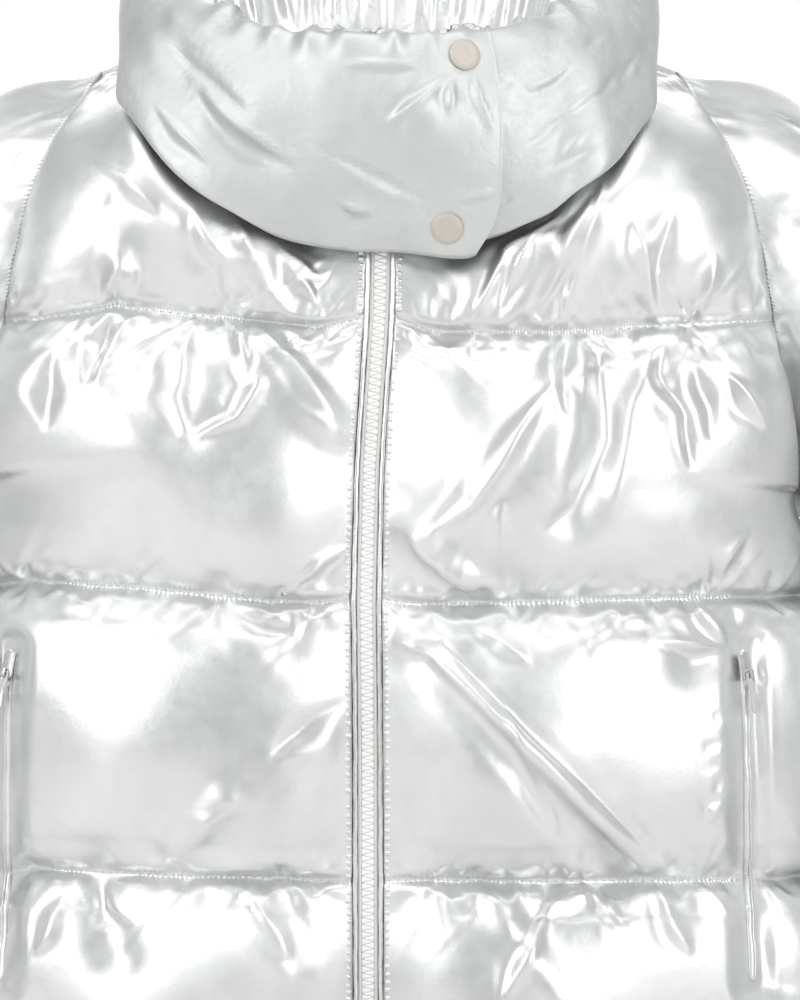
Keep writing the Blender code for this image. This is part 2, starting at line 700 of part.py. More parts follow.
def zip_parts(metal, tape, piping):
    back, face = -HALF_WALL, HALF_WALL
    clear = SEAM_GAP / 2
    tape_profile = (
        (clear, back),
        (TAPE_HALF_WIDTH, back),
        (TAPE_HALF_WIDTH, face),
        (TEETH_HALF_WIDTH, face),
        (TEETH_HALF_WIDTH, face + TEETH_RISE * 0.6),
        (TEETH_HALF_WIDTH * 0.55, face + TEETH_RISE),
        (clear, face + TEETH_RISE),
    )
    outer_edge = ZIP_HALF_WIDTH - clear
    middle = (PIPING_INNER + outer_edge) / 2
    piping_profile = (
        (PIPING_INNER + 0.1 * MM, back),
        (outer_edge, back),
        (outer_edge, face + PIPING_RISE * 0.6),
        (middle, face + PIPING_RISE),
        (PIPING_INNER + 0.1 * MM, face + PIPING_RISE * 0.6),
    )
    made = []
    for name, side in (("left", 1), ("right", -1)):
        made.append(zip_strip("zip_tape_" + name, side, tape_profile, tape))
        made.append(zip_strip("zip_piping_" + name, side, piping_profile, piping))
    return made


def box_profile(half_x, half_y, corner):
    return [
        (half_x, half_y - corner), (half_x - corner, half_y), (corner - half_x, half_y),
        (-half_x, half_y - corner), (-half_x, corner - half_y), (corner - half_x, -half_y),
        (half_x - corner, -half_y), (half_x, corner - half_y),
    ]


def neck_nodes(front_left, back, front_right):
    """The collar seam's own points and normals, from the zip's left edge round the neck to its right edge."""
    left = slice(YOKE_NECK_ROW, None, -1)
    inner = slice(SHOULDER_COLUMNS, SHOULDER_COLUMNS + BACK_NECK_COLUMNS + 1)
    points = [front_left.grid[left, 0], back.grid[0, inner][::-1][1:], front_right.grid[1 : YOKE_NECK_ROW + 1, 0]]
    normals = [
        front_left.normals[left, 0], back.normals[0, inner][::-1][1:],
        front_right.normals[1 : YOKE_NECK_ROW + 1, 0],
    ]
    points, normals = np.concatenate(points), np.concatenate(normals)
    start = math.asin(points[0][0] / NECK_HALF_WIDTH)
    end = 2 * math.pi + math.asin(points[-1][0] / NECK_HALF_WIDTH)
    angles = np.concatenate([
        np.linspace(start, math.pi / 2, YOKE_NECK_ROW + 1),
        np.linspace(math.pi / 2, 3 * math.pi / 2, BACK_NECK_COLUMNS + 1)[1:],
        np.linspace(3 * math.pi / 2, end, YOKE_NECK_ROW + 1)[1:],
    ])
    flat_out = np.stack([np.sin(angles), -np.cos(angles), -0.8 + 0 * angles], axis=1)
    away = unit(np.cross(normals, np.gradient(points, axis=0)))
    away *= np.sign((away * flat_out).sum(axis=1, keepdims=True))
    return points, normals, away, angles


def collar_edge_height(angle):
    side, front = math.sin(angle), math.cos(angle)
    if front > 0.0:
        share = max(0.0, 1.0 - abs(side) ** COLLAR_ROUNDNESS) ** (1.0 / COLLAR_ROUNDNESS)
        return -0.003 - (COLLAR_DROP - 0.003) * share
    return -0.003 - 0.011 * front


def plan(angle, front_depth, back_depth):
    """Depth of the collar's oval at an angle, about a middle 10 mm in front of the origin."""
    front = math.cos(angle)
    return -0.010 - front * (front_depth if front > 0.0 else back_depth)


def gather(angle):
    """The rim's gathers: uneven ridges and troughs."""
    wave = math.sin(49 * angle + 1.4 * math.sin(5 * angle)) + 0.35 * math.sin(23 * angle + 1.0)
    return GATHER_DEPTH * wave


def smooth(value, low, high):
    t = min(max((value - low) / (high - low), 0.0), 1.0)
    return t * t * (3 - 2 * t)


def collar_sections(points, normals, aways, angles, body):
    """Closed sections of the collar's padded wall, then of the flap that laps over its other end."""
    sections = []
    nodes = np.arange(len(points))
    fine = np.linspace(0, len(points) - 1, (len(points) - 1) * COLLAR_STEPS + 1)
    flap_angle = math.asin(FLAP_END / (COLLAR_HALF_WIDTH + 0.006)) + 2 * math.pi
    flap = np.linspace(angles[-1], flap_angle, 9)[1:]

    def bulge_at(x, z, share):
        depth = COLLAR_BULGE * math.sin(math.pi * share) ** 0.75
        for x0, z0, x1, z1, width, height in COLLAR_FOLDS:
            apart = segment_distance(np.array((x, z)), (x0, z0), (x1, z1))
            depth += height * math.exp(-((float(apart) / width) ** 2))
        for snap_x, snap_z in SNAP_PLACES.values():
            apart = math.hypot(x - snap_x, z - snap_z)
            depth -= SNAP_DIMPLE * math.exp(-((apart / 0.012) ** 2))
        return depth

    def rest_on_body(aim, angle):
        """The body's skin under a place of the collar, met from outside, and its outward normal."""
        side, front = math.sin(angle), math.cos(angle)
        out = Vector((0.35 * side, -front, 0.12 + 0.80 * side * side - 0.5 * min(front, 0.0))).normalized()
        along = Vector((front, side, 0.0))
        best = None
        for shift in (0.0, -2.5 * MM, 2.5 * MM):
            place, slope, _, _ = body.ray_cast(aim + out * 0.2 + along * shift, -out, 0.6)
            if place is not None and (best is None or (place - aim).dot(out) > best[0]):
                best = ((place - aim).dot(out), slope if slope.dot(out) > 0.0 else -slope)
        return np.array(aim + out * best[0]), np.array(best[1])

    def section(angle, seam, normal, away, lift, full):
        flat_out = unit(np.array((math.sin(angle), -math.cos(angle), 0.0)))
        up = np.array((0.0, 0.0, 1.0))
        edge_height = collar_edge_height(angle)
        x = COLLAR_HALF_WIDTH * math.sin(angle)
        if away is None:
            edge_height -= FLAP_DROP * smooth(x, 0.0, FLAP_END)
        rim = np.array((x, plan(angle, COLLAR_RIM_FRONT - 0.010, COLLAR_RIM_BACK + 0.010),
                        collar_edge_height(angle) + COLLAR_HEIGHT))
        edge = Vector((x, plan(angle, 0.113, 0.103), edge_height))
        place, slope = rest_on_body(edge, angle)
        foot = place + slope * FOOT_CLEARANCE
        toe = place + slope * TOE_CLEARANCE + flat_out * 1.5 * MM
        rim_in = rim - flat_out * COLLAR_RIM_THICKNESS

        def inner(share):
            point = seam + (rim_in - seam) * share + flat_out * 4 * MM * math.sin(math.pi * share)
            return point + flat_out * lift

        def outer(share):
            point = toe + (rim - toe) * share
            return point + flat_out * bulge_at(point[0], point[2], share)

        def thin(share, depth):
            return inner(share) + flat_out * depth

        middle = (np.array(seam) + place) / 2
        mid_place, mid_slope = rest_on_body(Vector(middle), angle)
        under = mid_place + mid_slope * UNDER_CLEARANCE
        if away is not None:
            lip_out = seam + normal * (HALF_WALL + LIP_STEP) - away * LIP_STEP
            lip_in = seam - normal * HALF_WALL - away * LIP_STEP
        else:
            lip_in = inner(0.10)
            lip_out = inner(0.02)
            under = foot + (inner(0.02) - foot) * 0.45
        ripple = gather(angle)
        tall = [outer(share) for share in OUTER_SHARES]
        top_out = rim - up * RIM_ROUNDING + flat_out * (2 * MM + ripple)
        top = rim - flat_out * 4 * MM + up * ripple * 0.8
        top_in = rim_in - up * RIM_ROUNDING + flat_out * (lift * 0.6 - ripple)
        walls = [inner(share) for share in INNER_SHARES]
        if full < 1.0:
            step = UNDER_STEP * (1.0 - full)
            thin_tall = [thin(share, UNDER_THICKNESS * 0.9) for share in OUTER_SHARES]
            tall = [a * (1 - full) + b * full for a, b in zip(thin_tall, tall)]
            low_lip = lip_out + flat_out * 1.0 * MM + up * 1.2 * MM
            under = low_lip * (1 - full) + under * full
            low_foot = lip_out + flat_out * 3.5 * MM + up * 2.2 * MM
            foot = low_foot * (1 - full) + foot * full
            toe = thin(0.09, UNDER_THICKNESS * 0.85) * (1 - full) + toe * full
            thin_top = inner(1.0) + flat_out * (4.5 * MM + 0.3 * ripple)
            top_out = (thin_top - up * RIM_ROUNDING) * (1 - full) + top_out * full - up * step
            top = (inner(1.0) + flat_out * 2 * MM) * (1 - full) + top * full - up * step
            top_in = top_in - up * step
        return [lip_in, lip_out, under, foot, toe, *tall, top_out, top, top_in, *walls]

    for knot in fine:
        seam = np.array([np.interp(knot, nodes, points[:, axis]) for axis in range(3)])
        normal = unit(np.array([np.interp(knot, nodes, normals[:, axis]) for axis in range(3)]))
        angle = float(np.interp(knot, nodes, angles))
        full = smooth(angle, *FLAP_BEGINS)
        lift = 4 * MM * smooth(angle, angles[-1] - 0.35, angles[-1])
        away = unit(np.array([np.interp(knot, nodes, aways[:, axis]) for axis in range(3)]))
        sections.append(section(angle, seam, normal, away, lift, full))
    for number, angle in enumerate(flap):
        seam = np.array(neckline(angle))
        lift = FLAP_LIFTS[min(number, 1)]
        sections.append(section(angle, seam, np.array((0.0, -1.0, 0.0)), None, lift, 1.0))
    return sections


def seated_height(surface, centre, normal, footprint):
    """How far the surface rises over the plane through centre, anywhere under the footprint."""
    highest = -1.0
    for point in footprint:
        start = Vector(point + normal * 0.03)
        hit, _, _, _ = surface.ray_cast(start, Vector(-normal), 0.06)
        if hit is not None:
            highest = max(highest, float((np.array(hit) - centre) @ normal))
    return highest


def frame_at(surface, x, z):
    """A place on the front's skin, with its outward normal, a level axis across and one down the cloth."""
    normals, depths = [], []
    for dx, dz in ((0, 0), (0.002, 0), (-0.002, 0), (0, 0.004), (0, -0.004)):
        start = Vector((x + dx, -0.5, z + dz))
        hit, near, _, _ = surface.ray_cast(start, Vector((0.0, 1.0, 0.0)), 1.0)
        if hit is None:
            continue
        near = np.array(near)
        normals.append(near if near[1] < 0 else -near)
        depths.append(hit.y)
    normal = unit(np.mean(normals, axis=0))
    across = unit(np.cross(normal, np.array((0.0, 0.0, 1.0))))
    across = across * (1.0 if across[0] > 0 else -1.0)
    down = unit(np.cross(across, normal))
    down = down * (1.0 if down[2] < 0 else -1.0)
    return np.array((x, depths[0], z)), normal, across, down


def snap_cap(name, place, surface, finish):
    """A snap's cap: a flat disc with a turned edge, seated on the flap."""
    centre, normal, across, down = frame_at(surface, *place)
    turns = np.arange(20) * math.tau / 20
    ring = [centre + SNAP_RADIUS * (math.cos(a) * across + math.sin(a) * down) for a in turns]
    base = seated_height(surface, centre, normal, ring + [centre]) + SEAM_GAP
    sections = []
    for radius, out in ((0.80, 0.0), (1.0, 0.5), (1.0, 1.3), (0.90, 2.0), (0.78, 2.2)):
        level = centre + normal * (base + out * MM)
        sections.append([
            level + radius * SNAP_RADIUS * (math.cos(a) * across + math.sin(a) * down) for a in turns
        ])
    return loft(name, sections, finish)


def pocket_zip(name, side, surface, finish):
    """A pocket's closed zip: a low ridge that follows the panel's outer points."""
    sections = []
    top, foot = pocket_line(side)
    for share in np.linspace(0.0, 1.0, POCKET_ROWS):
        x = top[0] + (foot[0] - top[0]) * share
        z = top[1] + (foot[1] - top[1]) * share
        _, normal, across, _ = frame_at(surface, x, z)
        section = []
        for wide, out in POCKET_PROFILE:
            aim = np.array((x, 0.0, z)) + across * wide * POCKET_HALF_WIDTH
            hit, _, _, _ = surface.ray_cast(Vector((aim[0], -0.5, z)), Vector((0.0, 1.0, 0.0)), 1.0)
            section.append(np.array(hit) + normal * (POCKET_SEAT + out * POCKET_RISE))
        sections.append(section)
    return loft(name, sections, finish)


def block(name, centre, axes, sizes, corner, finish):
    """A block with cut corners; axes are across, down and out."""
    across, down, out = axes
    half_x, half_y, half_out = (size / 2 for size in sizes)
    sections = []
    for level, shrink in ((-half_out, 0.0), (half_out - corner, 0.0), (half_out, corner)):
        outline = box_profile(half_x - shrink, half_y - shrink, corner * 1.4)
        sections.append([centre + across * a + down * b + out * level for a, b in outline])
    return loft(name, sections, finish)


def slider_parts(names, surface, place, finish, pull_finish):
    """A zip slider with its bail, and the pull tab that hangs in the bail; the tab's origin is on its axis."""
    centre, normal, across, down = frame_at(surface, *place)
    footprint = [
        centre + across * a + down * b
        for a in np.linspace(-0.5, 0.5, 3) * SLIDER_SIZE[0]
        for b in np.linspace(-0.5, 0.5, 5) * SLIDER_SIZE[1]
    ]
    base = seated_height(surface, centre, normal, footprint) + SEAM_GAP
    middle = centre + normal * (base + SLIDER_SIZE[2] / 2)
    body = block(names[0], middle, (across, down, normal), SLIDER_SIZE, SLIDER_CORNER, finish)
    foot = centre + normal * (base + SLIDER_SIZE[2])
    axis_down = SLIDER_SIZE[1] / 2 - BAIL_WALL - BAIL_HOLE[0] / 2
    near, far = axis_down - BAIL_HOLE[0] / 2, axis_down + BAIL_HOLE[0] / 2
    sunk, tall, wall = -BAIL_ROOT, BAIL_HOLE[1], BAIL_WALL
    arch = (
        (near - wall, sunk), (near - wall, tall), (near, tall + wall), (far, tall + wall),
        (far + wall, tall), (far + wall, sunk), (far, sunk), (far, tall), (near, tall), (near, sunk),
    )
    sections = []
    for wide in (-BAIL_WIDTH / 2, BAIL_WIDTH / 2):
        sections.append([foot + across * wide + down * b + normal * out for b, out in arch])
    bail = loft(names[0] + "_bail", sections, finish)
    bail.hide_render = True
    bail.display_type = "WIRE"
    union = body.modifiers.new("bail", "BOOLEAN")
    union.operation = "UNION"
    union.object = bail
    axis = foot + down * axis_down + normal * (BAIL_HOLE[1] / 2)
    return pull_tab(names[1], axis, across, down, normal, pull_finish)


def zip_slider(surface, place, finish):
    """The centre front zip's slider, low and plain, parked under the collar's flap."""
    centre, normal, across, down = frame_at(surface, *place)
    footprint = [centre + across * a * ZIP_SLIDER_SIZE[0] / 2 for a in (-0.8, -0.4, 0.4, 0.8)]
    base = seated_height(surface, centre, normal, footprint) + SEAM_GAP
    middle = centre + normal * (base + ZIP_SLIDER_SIZE[2] / 2)
    return block("zip_slider", middle, (across, down, normal), ZIP_SLIDER_SIZE, SLIDER_CORNER, finish)


def pull_tab(name, axis, across, down, out, finish):
    """A drop-shaped tab with a window at its top, whose upper bar lies in the bail."""
    half_bar = PULL_THICKNESS / 2
    turns = np.linspace(math.pi, 0.0, 9)
    low = PULL_LENGTH - PULL_WIDTH / 2
    outline = [(-PULL_WIDTH / 2, -half_bar), (-PULL_WIDTH / 2, PULL_WAIST[0]), (-PULL_WIDTH * 0.32, PULL_WAIST[1])]
    outline += [(PULL_WIDTH / 2 * math.cos(a), low + PULL_WIDTH / 2 * math.sin(a)) for a in turns]
    outline += [(PULL_WIDTH * 0.32, PULL_WAIST[1]), (PULL_WIDTH / 2, PULL_WAIST[0]), (PULL_WIDTH / 2, -half_bar)]
    wide, long = PULL_WINDOW[0] / 2, PULL_WINDOW[1]
    start, end = half_bar, half_bar + long - 0.6 * MM
    window = [(-wide, start), (-wide, end)]
    spread = len(outline) - 4
    window += [(-wide + 2 * wide * (k + 1) / (spread + 1), end) for k in range(spread)]
    window += [(wide, end), (wide, start)]
    points = []
    for level in (-half_bar, half_bar):
        for ring in (outline, window):
            points += [across * a + down * b + out * level for a, b in ring]
    count = len(outline)
    faces = []
    for k in range(count):
        n = (k + 1) % count
        faces.append((k, n, count + n, count + k))
        faces.append((2 * count + k, 3 * count + k, 3 * count + n, 2 * count + n))
        faces.append((k, 2 * count + k, 2 * count + n, n))
        faces.append((count + k, count + n, 3 * count + n, 3 * count + k))
    made = add_object(name, points, faces, finish)
    made.location = Vector(axis)
    made["axis"] = [float(value) for value in across]
    return made


def main():
    for old in list(bpy.data.objects):
        bpy.data.objects.remove(old)
    front_left = Panel("front_left", *front_grid(1))
    front_right = Panel("front_right", *front_grid(-1))
    back = Panel("back", *back_grid())
    sleeve_points, sleeve_shares = sleeve_grid()
    sleeve_left = Panel("sleeve_left", sleeve_points, sleeve_shares, closed=True)
    mirrored = sleeve_points * np.array((-1.0, 1.0, 1.0))
    sleeve_right = Panel("sleeve_right", mirrored, sleeve_shares, closed=True)
    for panel in (front_left, front_right):
        edge = panel.normals[YOKE_NECK_ROW:, 0]
        edge[:, 0] = 0.0
        panel.normals[YOKE_NECK_ROW:, 0] = unit(edge)
    share_normals((front_left, front_right, back, sleeve_left, sleeve_right))
    last = back.grid.shape[1] - 1
    level_shoulder_normals((
        (front_left, 0, FRONT_COLUMNS),
        (front_right, 0, FRONT_COLUMNS),
        (back, SHOULDER_COLUMNS, 0),
        (back, last - SHOULDER_COLUMNS, last),
    ))
    front_left.puff = body_height(front_left, 1)
    front_right.puff = body_height(front_right, -1)
    back.puff = body_height(back, 0)
    sleeve_left.puff = sleeve_height(sleeve_left, 2.1)
    sleeve_right.puff = sleeve_height(sleeve_right, 4.4)
    walls = [wall_solid(panel, FOIL) for panel in (front_left, front_right, back)]
    for panel in (sleeve_left, sleeve_right):
        wall_solid(panel, FOIL)
    strips = zip_parts(SLIDER_METAL, TAPE, PIPING)
    corner = neckline(0.0)[2]
    place = (column(ZIP_LINE, corner, 1), corner - ZIP_SLIDER_SIZE[1] / 2 - 1.0 * MM)
    slider = zip_slider(surface_of(strips), place, SLIDER_METAL)
    nodes = neck_nodes(front_left, back, front_right)
    body = surface_of(walls + strips + [slider])
    collar = loft("collar", collar_sections(*nodes, body), FOIL)
    flap = surface_of([collar])
    for name, place in SNAP_PLACES.items():
        snap_cap(name, place, flap, SNAP_METAL)
    for name, side, wall in (("left", 1, walls[0]), ("right", -1, walls[1])):
        strip = pocket_zip("pocket_zip_" + name, side, surface_of([wall]), PIPING)
        top = pocket_line(side)[0]
        place = (top[0], top[1] - POCKET_SLIDER_RISE)
        names = ("pocket_slider_" + name, "pocket_pull_" + name)
        slider_parts(names, surface_of([strip, wall]), place, SLIDER_METAL, SLIDER_METAL)


main()
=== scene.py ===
"""The looks of a silver quilted puffer jacket: foil-coated cloth over filling, filled out as when worn.

Metres, +Z up, the front faces -Y and +X is the wearer's left. The shapes repeat the part's own sizes.
"""

import math

import bmesh
import bpy
import numpy as np
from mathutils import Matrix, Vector
from mathutils.bvhtree import BVHTree


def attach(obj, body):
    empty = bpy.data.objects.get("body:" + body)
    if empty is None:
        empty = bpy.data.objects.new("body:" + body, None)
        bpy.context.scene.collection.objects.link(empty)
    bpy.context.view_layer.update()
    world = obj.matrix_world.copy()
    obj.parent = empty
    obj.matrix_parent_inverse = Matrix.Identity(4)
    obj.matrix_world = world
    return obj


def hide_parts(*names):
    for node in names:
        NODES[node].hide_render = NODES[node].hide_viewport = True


bl_info = {
    "name": "Quilted Puffer Jacket",
    "version": (1, 0, 0),
    "blender": (4, 5, 0),
    "location": "3D View > Sidebar > Jacket",
    "description": "Dresses the jacket's frame with padded cloth, zips, snaps and studio light",
    "category": "Add Mesh",
}

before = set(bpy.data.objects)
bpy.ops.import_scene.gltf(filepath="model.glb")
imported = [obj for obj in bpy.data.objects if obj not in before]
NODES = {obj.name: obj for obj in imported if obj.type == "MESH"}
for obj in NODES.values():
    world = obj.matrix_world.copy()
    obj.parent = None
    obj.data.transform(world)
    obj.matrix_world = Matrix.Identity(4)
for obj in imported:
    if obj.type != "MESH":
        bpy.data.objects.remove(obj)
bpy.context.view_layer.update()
MM = 0.001
SEAM_LINES = {}


# Cloth
SEAM_GAP = 0.3 * MM
HALF_WALL = 1.2 * MM
BODY_PUFF = 22 * MM
SLEEVE_PUFF = 18 * MM

# Heights of the quilting seams and of the hem
SEAM_HEIGHTS = (-0.143, -0.286, -0.428, -0.570, -0.700)
UNDERARM_HEIGHT = -0.235

# Torso before padding: height, half width at the side seam, depth of the front, depth of the back
TORSO = (
    (-0.098, 0.190, 0.112, 0.118),
    (-0.143, 0.198, 0.122, 0.126),
    (-0.235, 0.207, 0.135, 0.132),
    (-0.286, 0.221, 0.138, 0.131),
    (-0.428, 0.228, 0.140, 0.128),
    (-0.570, 0.228, 0.138, 0.127),
    (-0.700, 0.222, 0.132, 0.124),
)
CHEST_SQUARENESS = 2.5
CHANNEL_FULLNESS = 0.52

# Raglan seam, from the shoulder to the underarm: height, distance from the middle, front y, back y
RAGLAN = (
    (-0.007, 0.153, 0.000, 0.000),
    (-0.051, 0.176, -0.055, 0.055),
    (-0.087, 0.188, -0.075, 0.080),
    (-0.140, 0.198, -0.078, 0.088),
    (-0.190, 0.204, -0.060, 0.068),
    (-0.225, 0.206, -0.030, 0.035),
    (-0.235, 0.207, 0.000, 0.000),
)

# Neckline
NECK_HALF_WIDTH = 0.105
NECK_SIDE_Y = 0.005
NECK_SIDE_HEIGHT = 0.014
NECK_FRONT_DROP = 0.112
NECK_FRONT_DEPTH = 0.117
NECK_BACK_DEPTH = 0.078
NECK_BACK_RISE = 0.006
NECK_ROUNDNESS = 2.2

# Centre front zip: height and distance of its middle from x = 0, then its half section in widths
ZIP_LINE = (
    (-0.098, -0.00375),
    (-0.143, -0.00475),
    (-0.195, -0.00825),
    (-0.220, -0.00975),
    (-0.286, -0.01125),
    (-0.360, -0.01050),
    (-0.700, -0.01000),
)
TEETH_HALF_WIDTH = 3.0 * MM
TAPE_HALF_WIDTH = 4.9 * MM
PIPING_INNER = 5.1 * MM
ZIP_HALF_WIDTH = 7.75 * MM
TEETH_RISE = 1.6 * MM
PIPING_RISE = 2.4 * MM
ZIP_TAPER = 11 * MM

# Collar
COLLAR_HALF_WIDTH = 0.1250
COLLAR_HEIGHT = 0.111
COLLAR_DROP = 0.110
COLLAR_EDGE_SIDE = -0.003
COLLAR_EDGE_RISE = 0.011
COLLAR_MIDDLE_Y = -0.010
COLLAR_ROUNDNESS = 2.9
COLLAR_BULGE = 14 * MM
COLLAR_FULLNESS = 0.75
COLLAR_RIM_FRONT = 0.136
COLLAR_RIM_BACK = 0.100
COLLAR_EDGE_FRONT = 0.113
COLLAR_EDGE_BACK = 0.103
COLLAR_RIM_THICKNESS = 9 * MM
FLAP_END = 0.0535
FLAP_OUTSIDE = 6 * MM
FLAP_STEPS = 8
FLAP_DROP = 9 * MM
FLAP_LIFTS = (6.5 * MM, 9.5 * MM)
FLAP_BEGINS = (math.radians(16.5), math.radians(20.0))
UNDER_THICKNESS = 7 * MM
UNDER_STEP = 7.5 * MM
LIP_STEP = 0.38 * MM
FOOT_CLEARANCE = 3.4 * MM
UNDER_CLEARANCE = 3.8 * MM
TOE_CLEARANCE = 5.5 * MM
RIM_ROUNDING = 3 * MM
GATHER_DEPTH = 2.2 * MM
SNAP_RADIUS = 8.25 * MM
SNAP_DIMPLE = 2.5 * MM
SNAP_DIMPLE_REACH = 12 * MM
SNAP_PLACES = {"snap_cap_upper": (0.0380, -0.0112), "snap_cap_lower": (0.0296, -0.0982)}

# Collar's folds, seen from the front: start x and z, end x and z, width, height, all in metres
COLLAR_FOLDS = (
    (-0.100, 0.010, -0.052, -0.048, 0.010, 0.0050),
    (-0.098, -0.012, -0.058, -0.056, 0.009, -0.0045),
    (-0.022, -0.078, 0.012, -0.084, 0.008, 0.0035),
    (0.026, -0.030, 0.004, -0.052, 0.008, 0.0040),
    (0.066, -0.012, 0.092, -0.004, 0.009, 0.0035),
    (-0.050, -0.068, -0.022, -0.096, 0.009, -0.0035),
)

# Places along the collar's wall between its foot and its rim, outside going up and inside coming down
OUTER_SHARES = (0.16, 0.38, 0.62, 0.84)
INNER_SHARES = (0.72, 0.42, 0.16)

# Sleeve: centres and radii of the elbow ring and of the cuff, and the lean of the arm from the vertical
SHOULDER_SLOPE = math.radians(24)
ELBOW = (0.367, -0.012, -0.362)
ELBOW_RADIUS = 0.077
ELBOW_LEAN = math.radians(18)
CUFF = (0.418, -0.030, -0.622)
CUFF_RADIUS = 0.053
CUFF_LEAN = math.radians(8)

# Pocket: top and foot of the zip on the wearer's left, and its parts
POCKET_TOP = (0.1810, -0.312)
POCKET_FOOT = (0.1855, -0.481)
POCKET_FURTHER = {1: 0.0, -1: 0.012}
POCKET_HALF_WIDTH = 3.4 * MM
POCKET_RISE = 1.6 * MM
POCKET_SEAT = 0.65 * MM

# Quilting rows between two seams, as shares of the way from one to the next
PUFF_ROWS = (0.0, 0.11, 0.35, 0.65, 0.89, 1.0)
SLEEVE_ROWS = (0.0, 0.11, 0.34, 0.66, 0.89, 1.0)
YOKE_ROWS = (0.0, 0.14, 0.30, 0.46, 0.62, 0.77, 0.90, 1.0)
YOKE_NECK_ROW = 5
UNDERARM_ROWS = (0.0, 0.10, 0.28, 0.46, 0.643, 0.84, 1.0)
UNDERARM_ROW = 4
FRONT_COLUMNS = 12
SHOULDER_COLUMNS = 3
BACK_NECK_COLUMNS = 12
COLLAR_STEPS = 4

# Largest folds: side, start x and z, end x and z, width, height (ridges are positive), all in metres
FRONT_FOLDS = (
    (1, 0.010, -0.306, 0.130, -0.420, 0.009, 0.0060),
    (1, 0.018, -0.315, 0.110, -0.425, 0.008, -0.0050),
    (1, 0.085, -0.168, 0.012, -0.255, 0.010, 0.0060),
    (1, 0.110, -0.160, 0.088, -0.245, 0.012, -0.0060),
    (1, 0.008, -0.250, 0.050, -0.284, 0.009, 0.0050),
    (1, 0.100, -0.080, 0.058, -0.138, 0.010, 0.0050),
    (1, 0.084, -0.098, 0.050, -0.140, 0.008, -0.0045),
    (1, 0.148, -0.320, 0.178, -0.312, 0.012, -0.0060),
    (1, 0.055, -0.440, 0.085, -0.490, 0.010, 0.0050),
    (-1, -0.140, -0.146, -0.135, -0.125, 0.010, 0.0050),
    (-1, -0.070, -0.152, -0.025, -0.200, 0.010, 0.0055),
    (-1, -0.150, -0.160, -0.100, -0.205, 0.013, -0.0060),
    (-1, -0.085, -0.290, -0.050, -0.300, 0.010, -0.0050),
    (-1, -0.104, -0.412, -0.080, -0.390, 0.010, 0.0050),
    (-1, -0.145, -0.430, -0.130, -0.470, 0.011, -0.0050),
    (-1, -0.070, -0.434, -0.050, -0.475, 0.010, 0.0050),
)
BACK_FOLDS = (
    (0, -0.120, -0.160, -0.060, -0.250, 0.012, 0.0055),
    (0, 0.050, -0.155, 0.110, -0.235, 0.012, -0.0055),
    (0, -0.150, -0.310, -0.050, -0.400, 0.012, -0.0050),
    (0, 0.020, -0.300, 0.130, -0.395, 0.011, 0.0055),
    (0, -0.060, -0.450, -0.110, -0.540, 0.012, 0.0050),
    (0, 0.080, -0.440, 0.060, -0.540, 0.012, -0.0050),
    (0, -0.050, -0.580, 0.010, -0.670, 0.012, 0.0050),
)


MIRROR = np.array((-1.0, 1.0, 1.0))


def column(table, key, index):
    """The table's value in one column at a height, read between its rows."""
    rows = sorted(table)
    return float(np.interp(key, [row[0] for row in rows], [row[index] for row in rows]))


def unit(vectors):
    """Vectors at length one."""
    length = np.linalg.norm(vectors, axis=-1, keepdims=True)
    return vectors / np.maximum(length, 1e-12)


def lengths_along(points):
    """How far along a polyline each of its points lies."""
    steps = np.linalg.norm(np.diff(points, axis=0), axis=-1)
    return np.concatenate([[0.0], np.cumsum(steps)])


def between(places, knots, values):
    """Rows of values read at places between their knots."""
    return np.stack([np.interp(places, knots, values[:, axis]) for axis in range(3)], axis=-1)


def read_at(points, shares):
    """Points at these shares of a polyline's length."""
    along = lengths_along(points)
    return between(np.asarray(shares) * along[-1], along, points)


def resampled(points, count):
    """A polyline's points again, evenly spaced along it."""
    return read_at(points, np.linspace(0.0, 1.0, count + 1))


def hermite(start, start_pull, end, end_pull, shares):
    """Points on a smooth curve between two ends that each have a pull."""
    t = np.asarray(shares)[:, None, None]
    h1 = 2 * t**3 - 3 * t**2 + 1
    h2 = t**3 - 2 * t**2 + t
    h3 = 3 * t**2 - 2 * t**3
    h4 = t**3 - t**2
    return h1 * start + h2 * start_pull + h3 * end + h4 * end_pull


def rounded_arc(inner, outer):
    """A quarter of a squarish oval, in plan, from the middle of the body to its side."""
    angle = np.linspace(0.0, math.pi / 2, 60)
    power = 2.0 / CHEST_SQUARENESS
    across = np.sin(angle) ** power
    deep = np.cos(angle) ** power
    x = inner[0] + (outer[0] - inner[0]) * across
    y = outer[1] + (inner[1] - outer[1]) * deep
    z = inner[2] + (outer[2] - inner[2]) * np.linspace(0.0, 1.0, len(angle))
    return np.stack([x, y, z], axis=1)


def neckline(angle):
    """A point of the collar seam: 0 at the front middle, a right angle at the wearer's left, pi behind."""
    side, front = math.sin(angle), math.cos(angle)
    x = NECK_HALF_WIDTH * side
    if front > 0.0:
        share = max(0.0, 1.0 - abs(side) ** NECK_ROUNDNESS) ** (1.0 / NECK_ROUNDNESS)
        return (x, NECK_SIDE_Y - NECK_FRONT_DEPTH * front, NECK_SIDE_HEIGHT - NECK_FRONT_DROP * share)
    return (x, NECK_SIDE_Y - NECK_BACK_DEPTH * front, NECK_SIDE_HEIGHT - NECK_BACK_RISE * front)


def raglan_curve(y_index):
    """The sleeve seam on the wearer's left, smoothed between the table's rows."""
    points = np.array([(row[1], row[y_index], row[0]) for row in RAGLAN])
    knots = np.arange(len(points), dtype=float)
    slopes = np.gradient(points, axis=0)
    fine = np.linspace(0.0, knots[-1], 97)
    result = []
    for knot in fine:
        first = min(int(knot), len(points) - 2)
        start, end = points[first], points[first + 1]
        result.append(hermite(start, slopes[first], end, slopes[first + 1], [knot - first])[0, 0])
    return np.array(result)


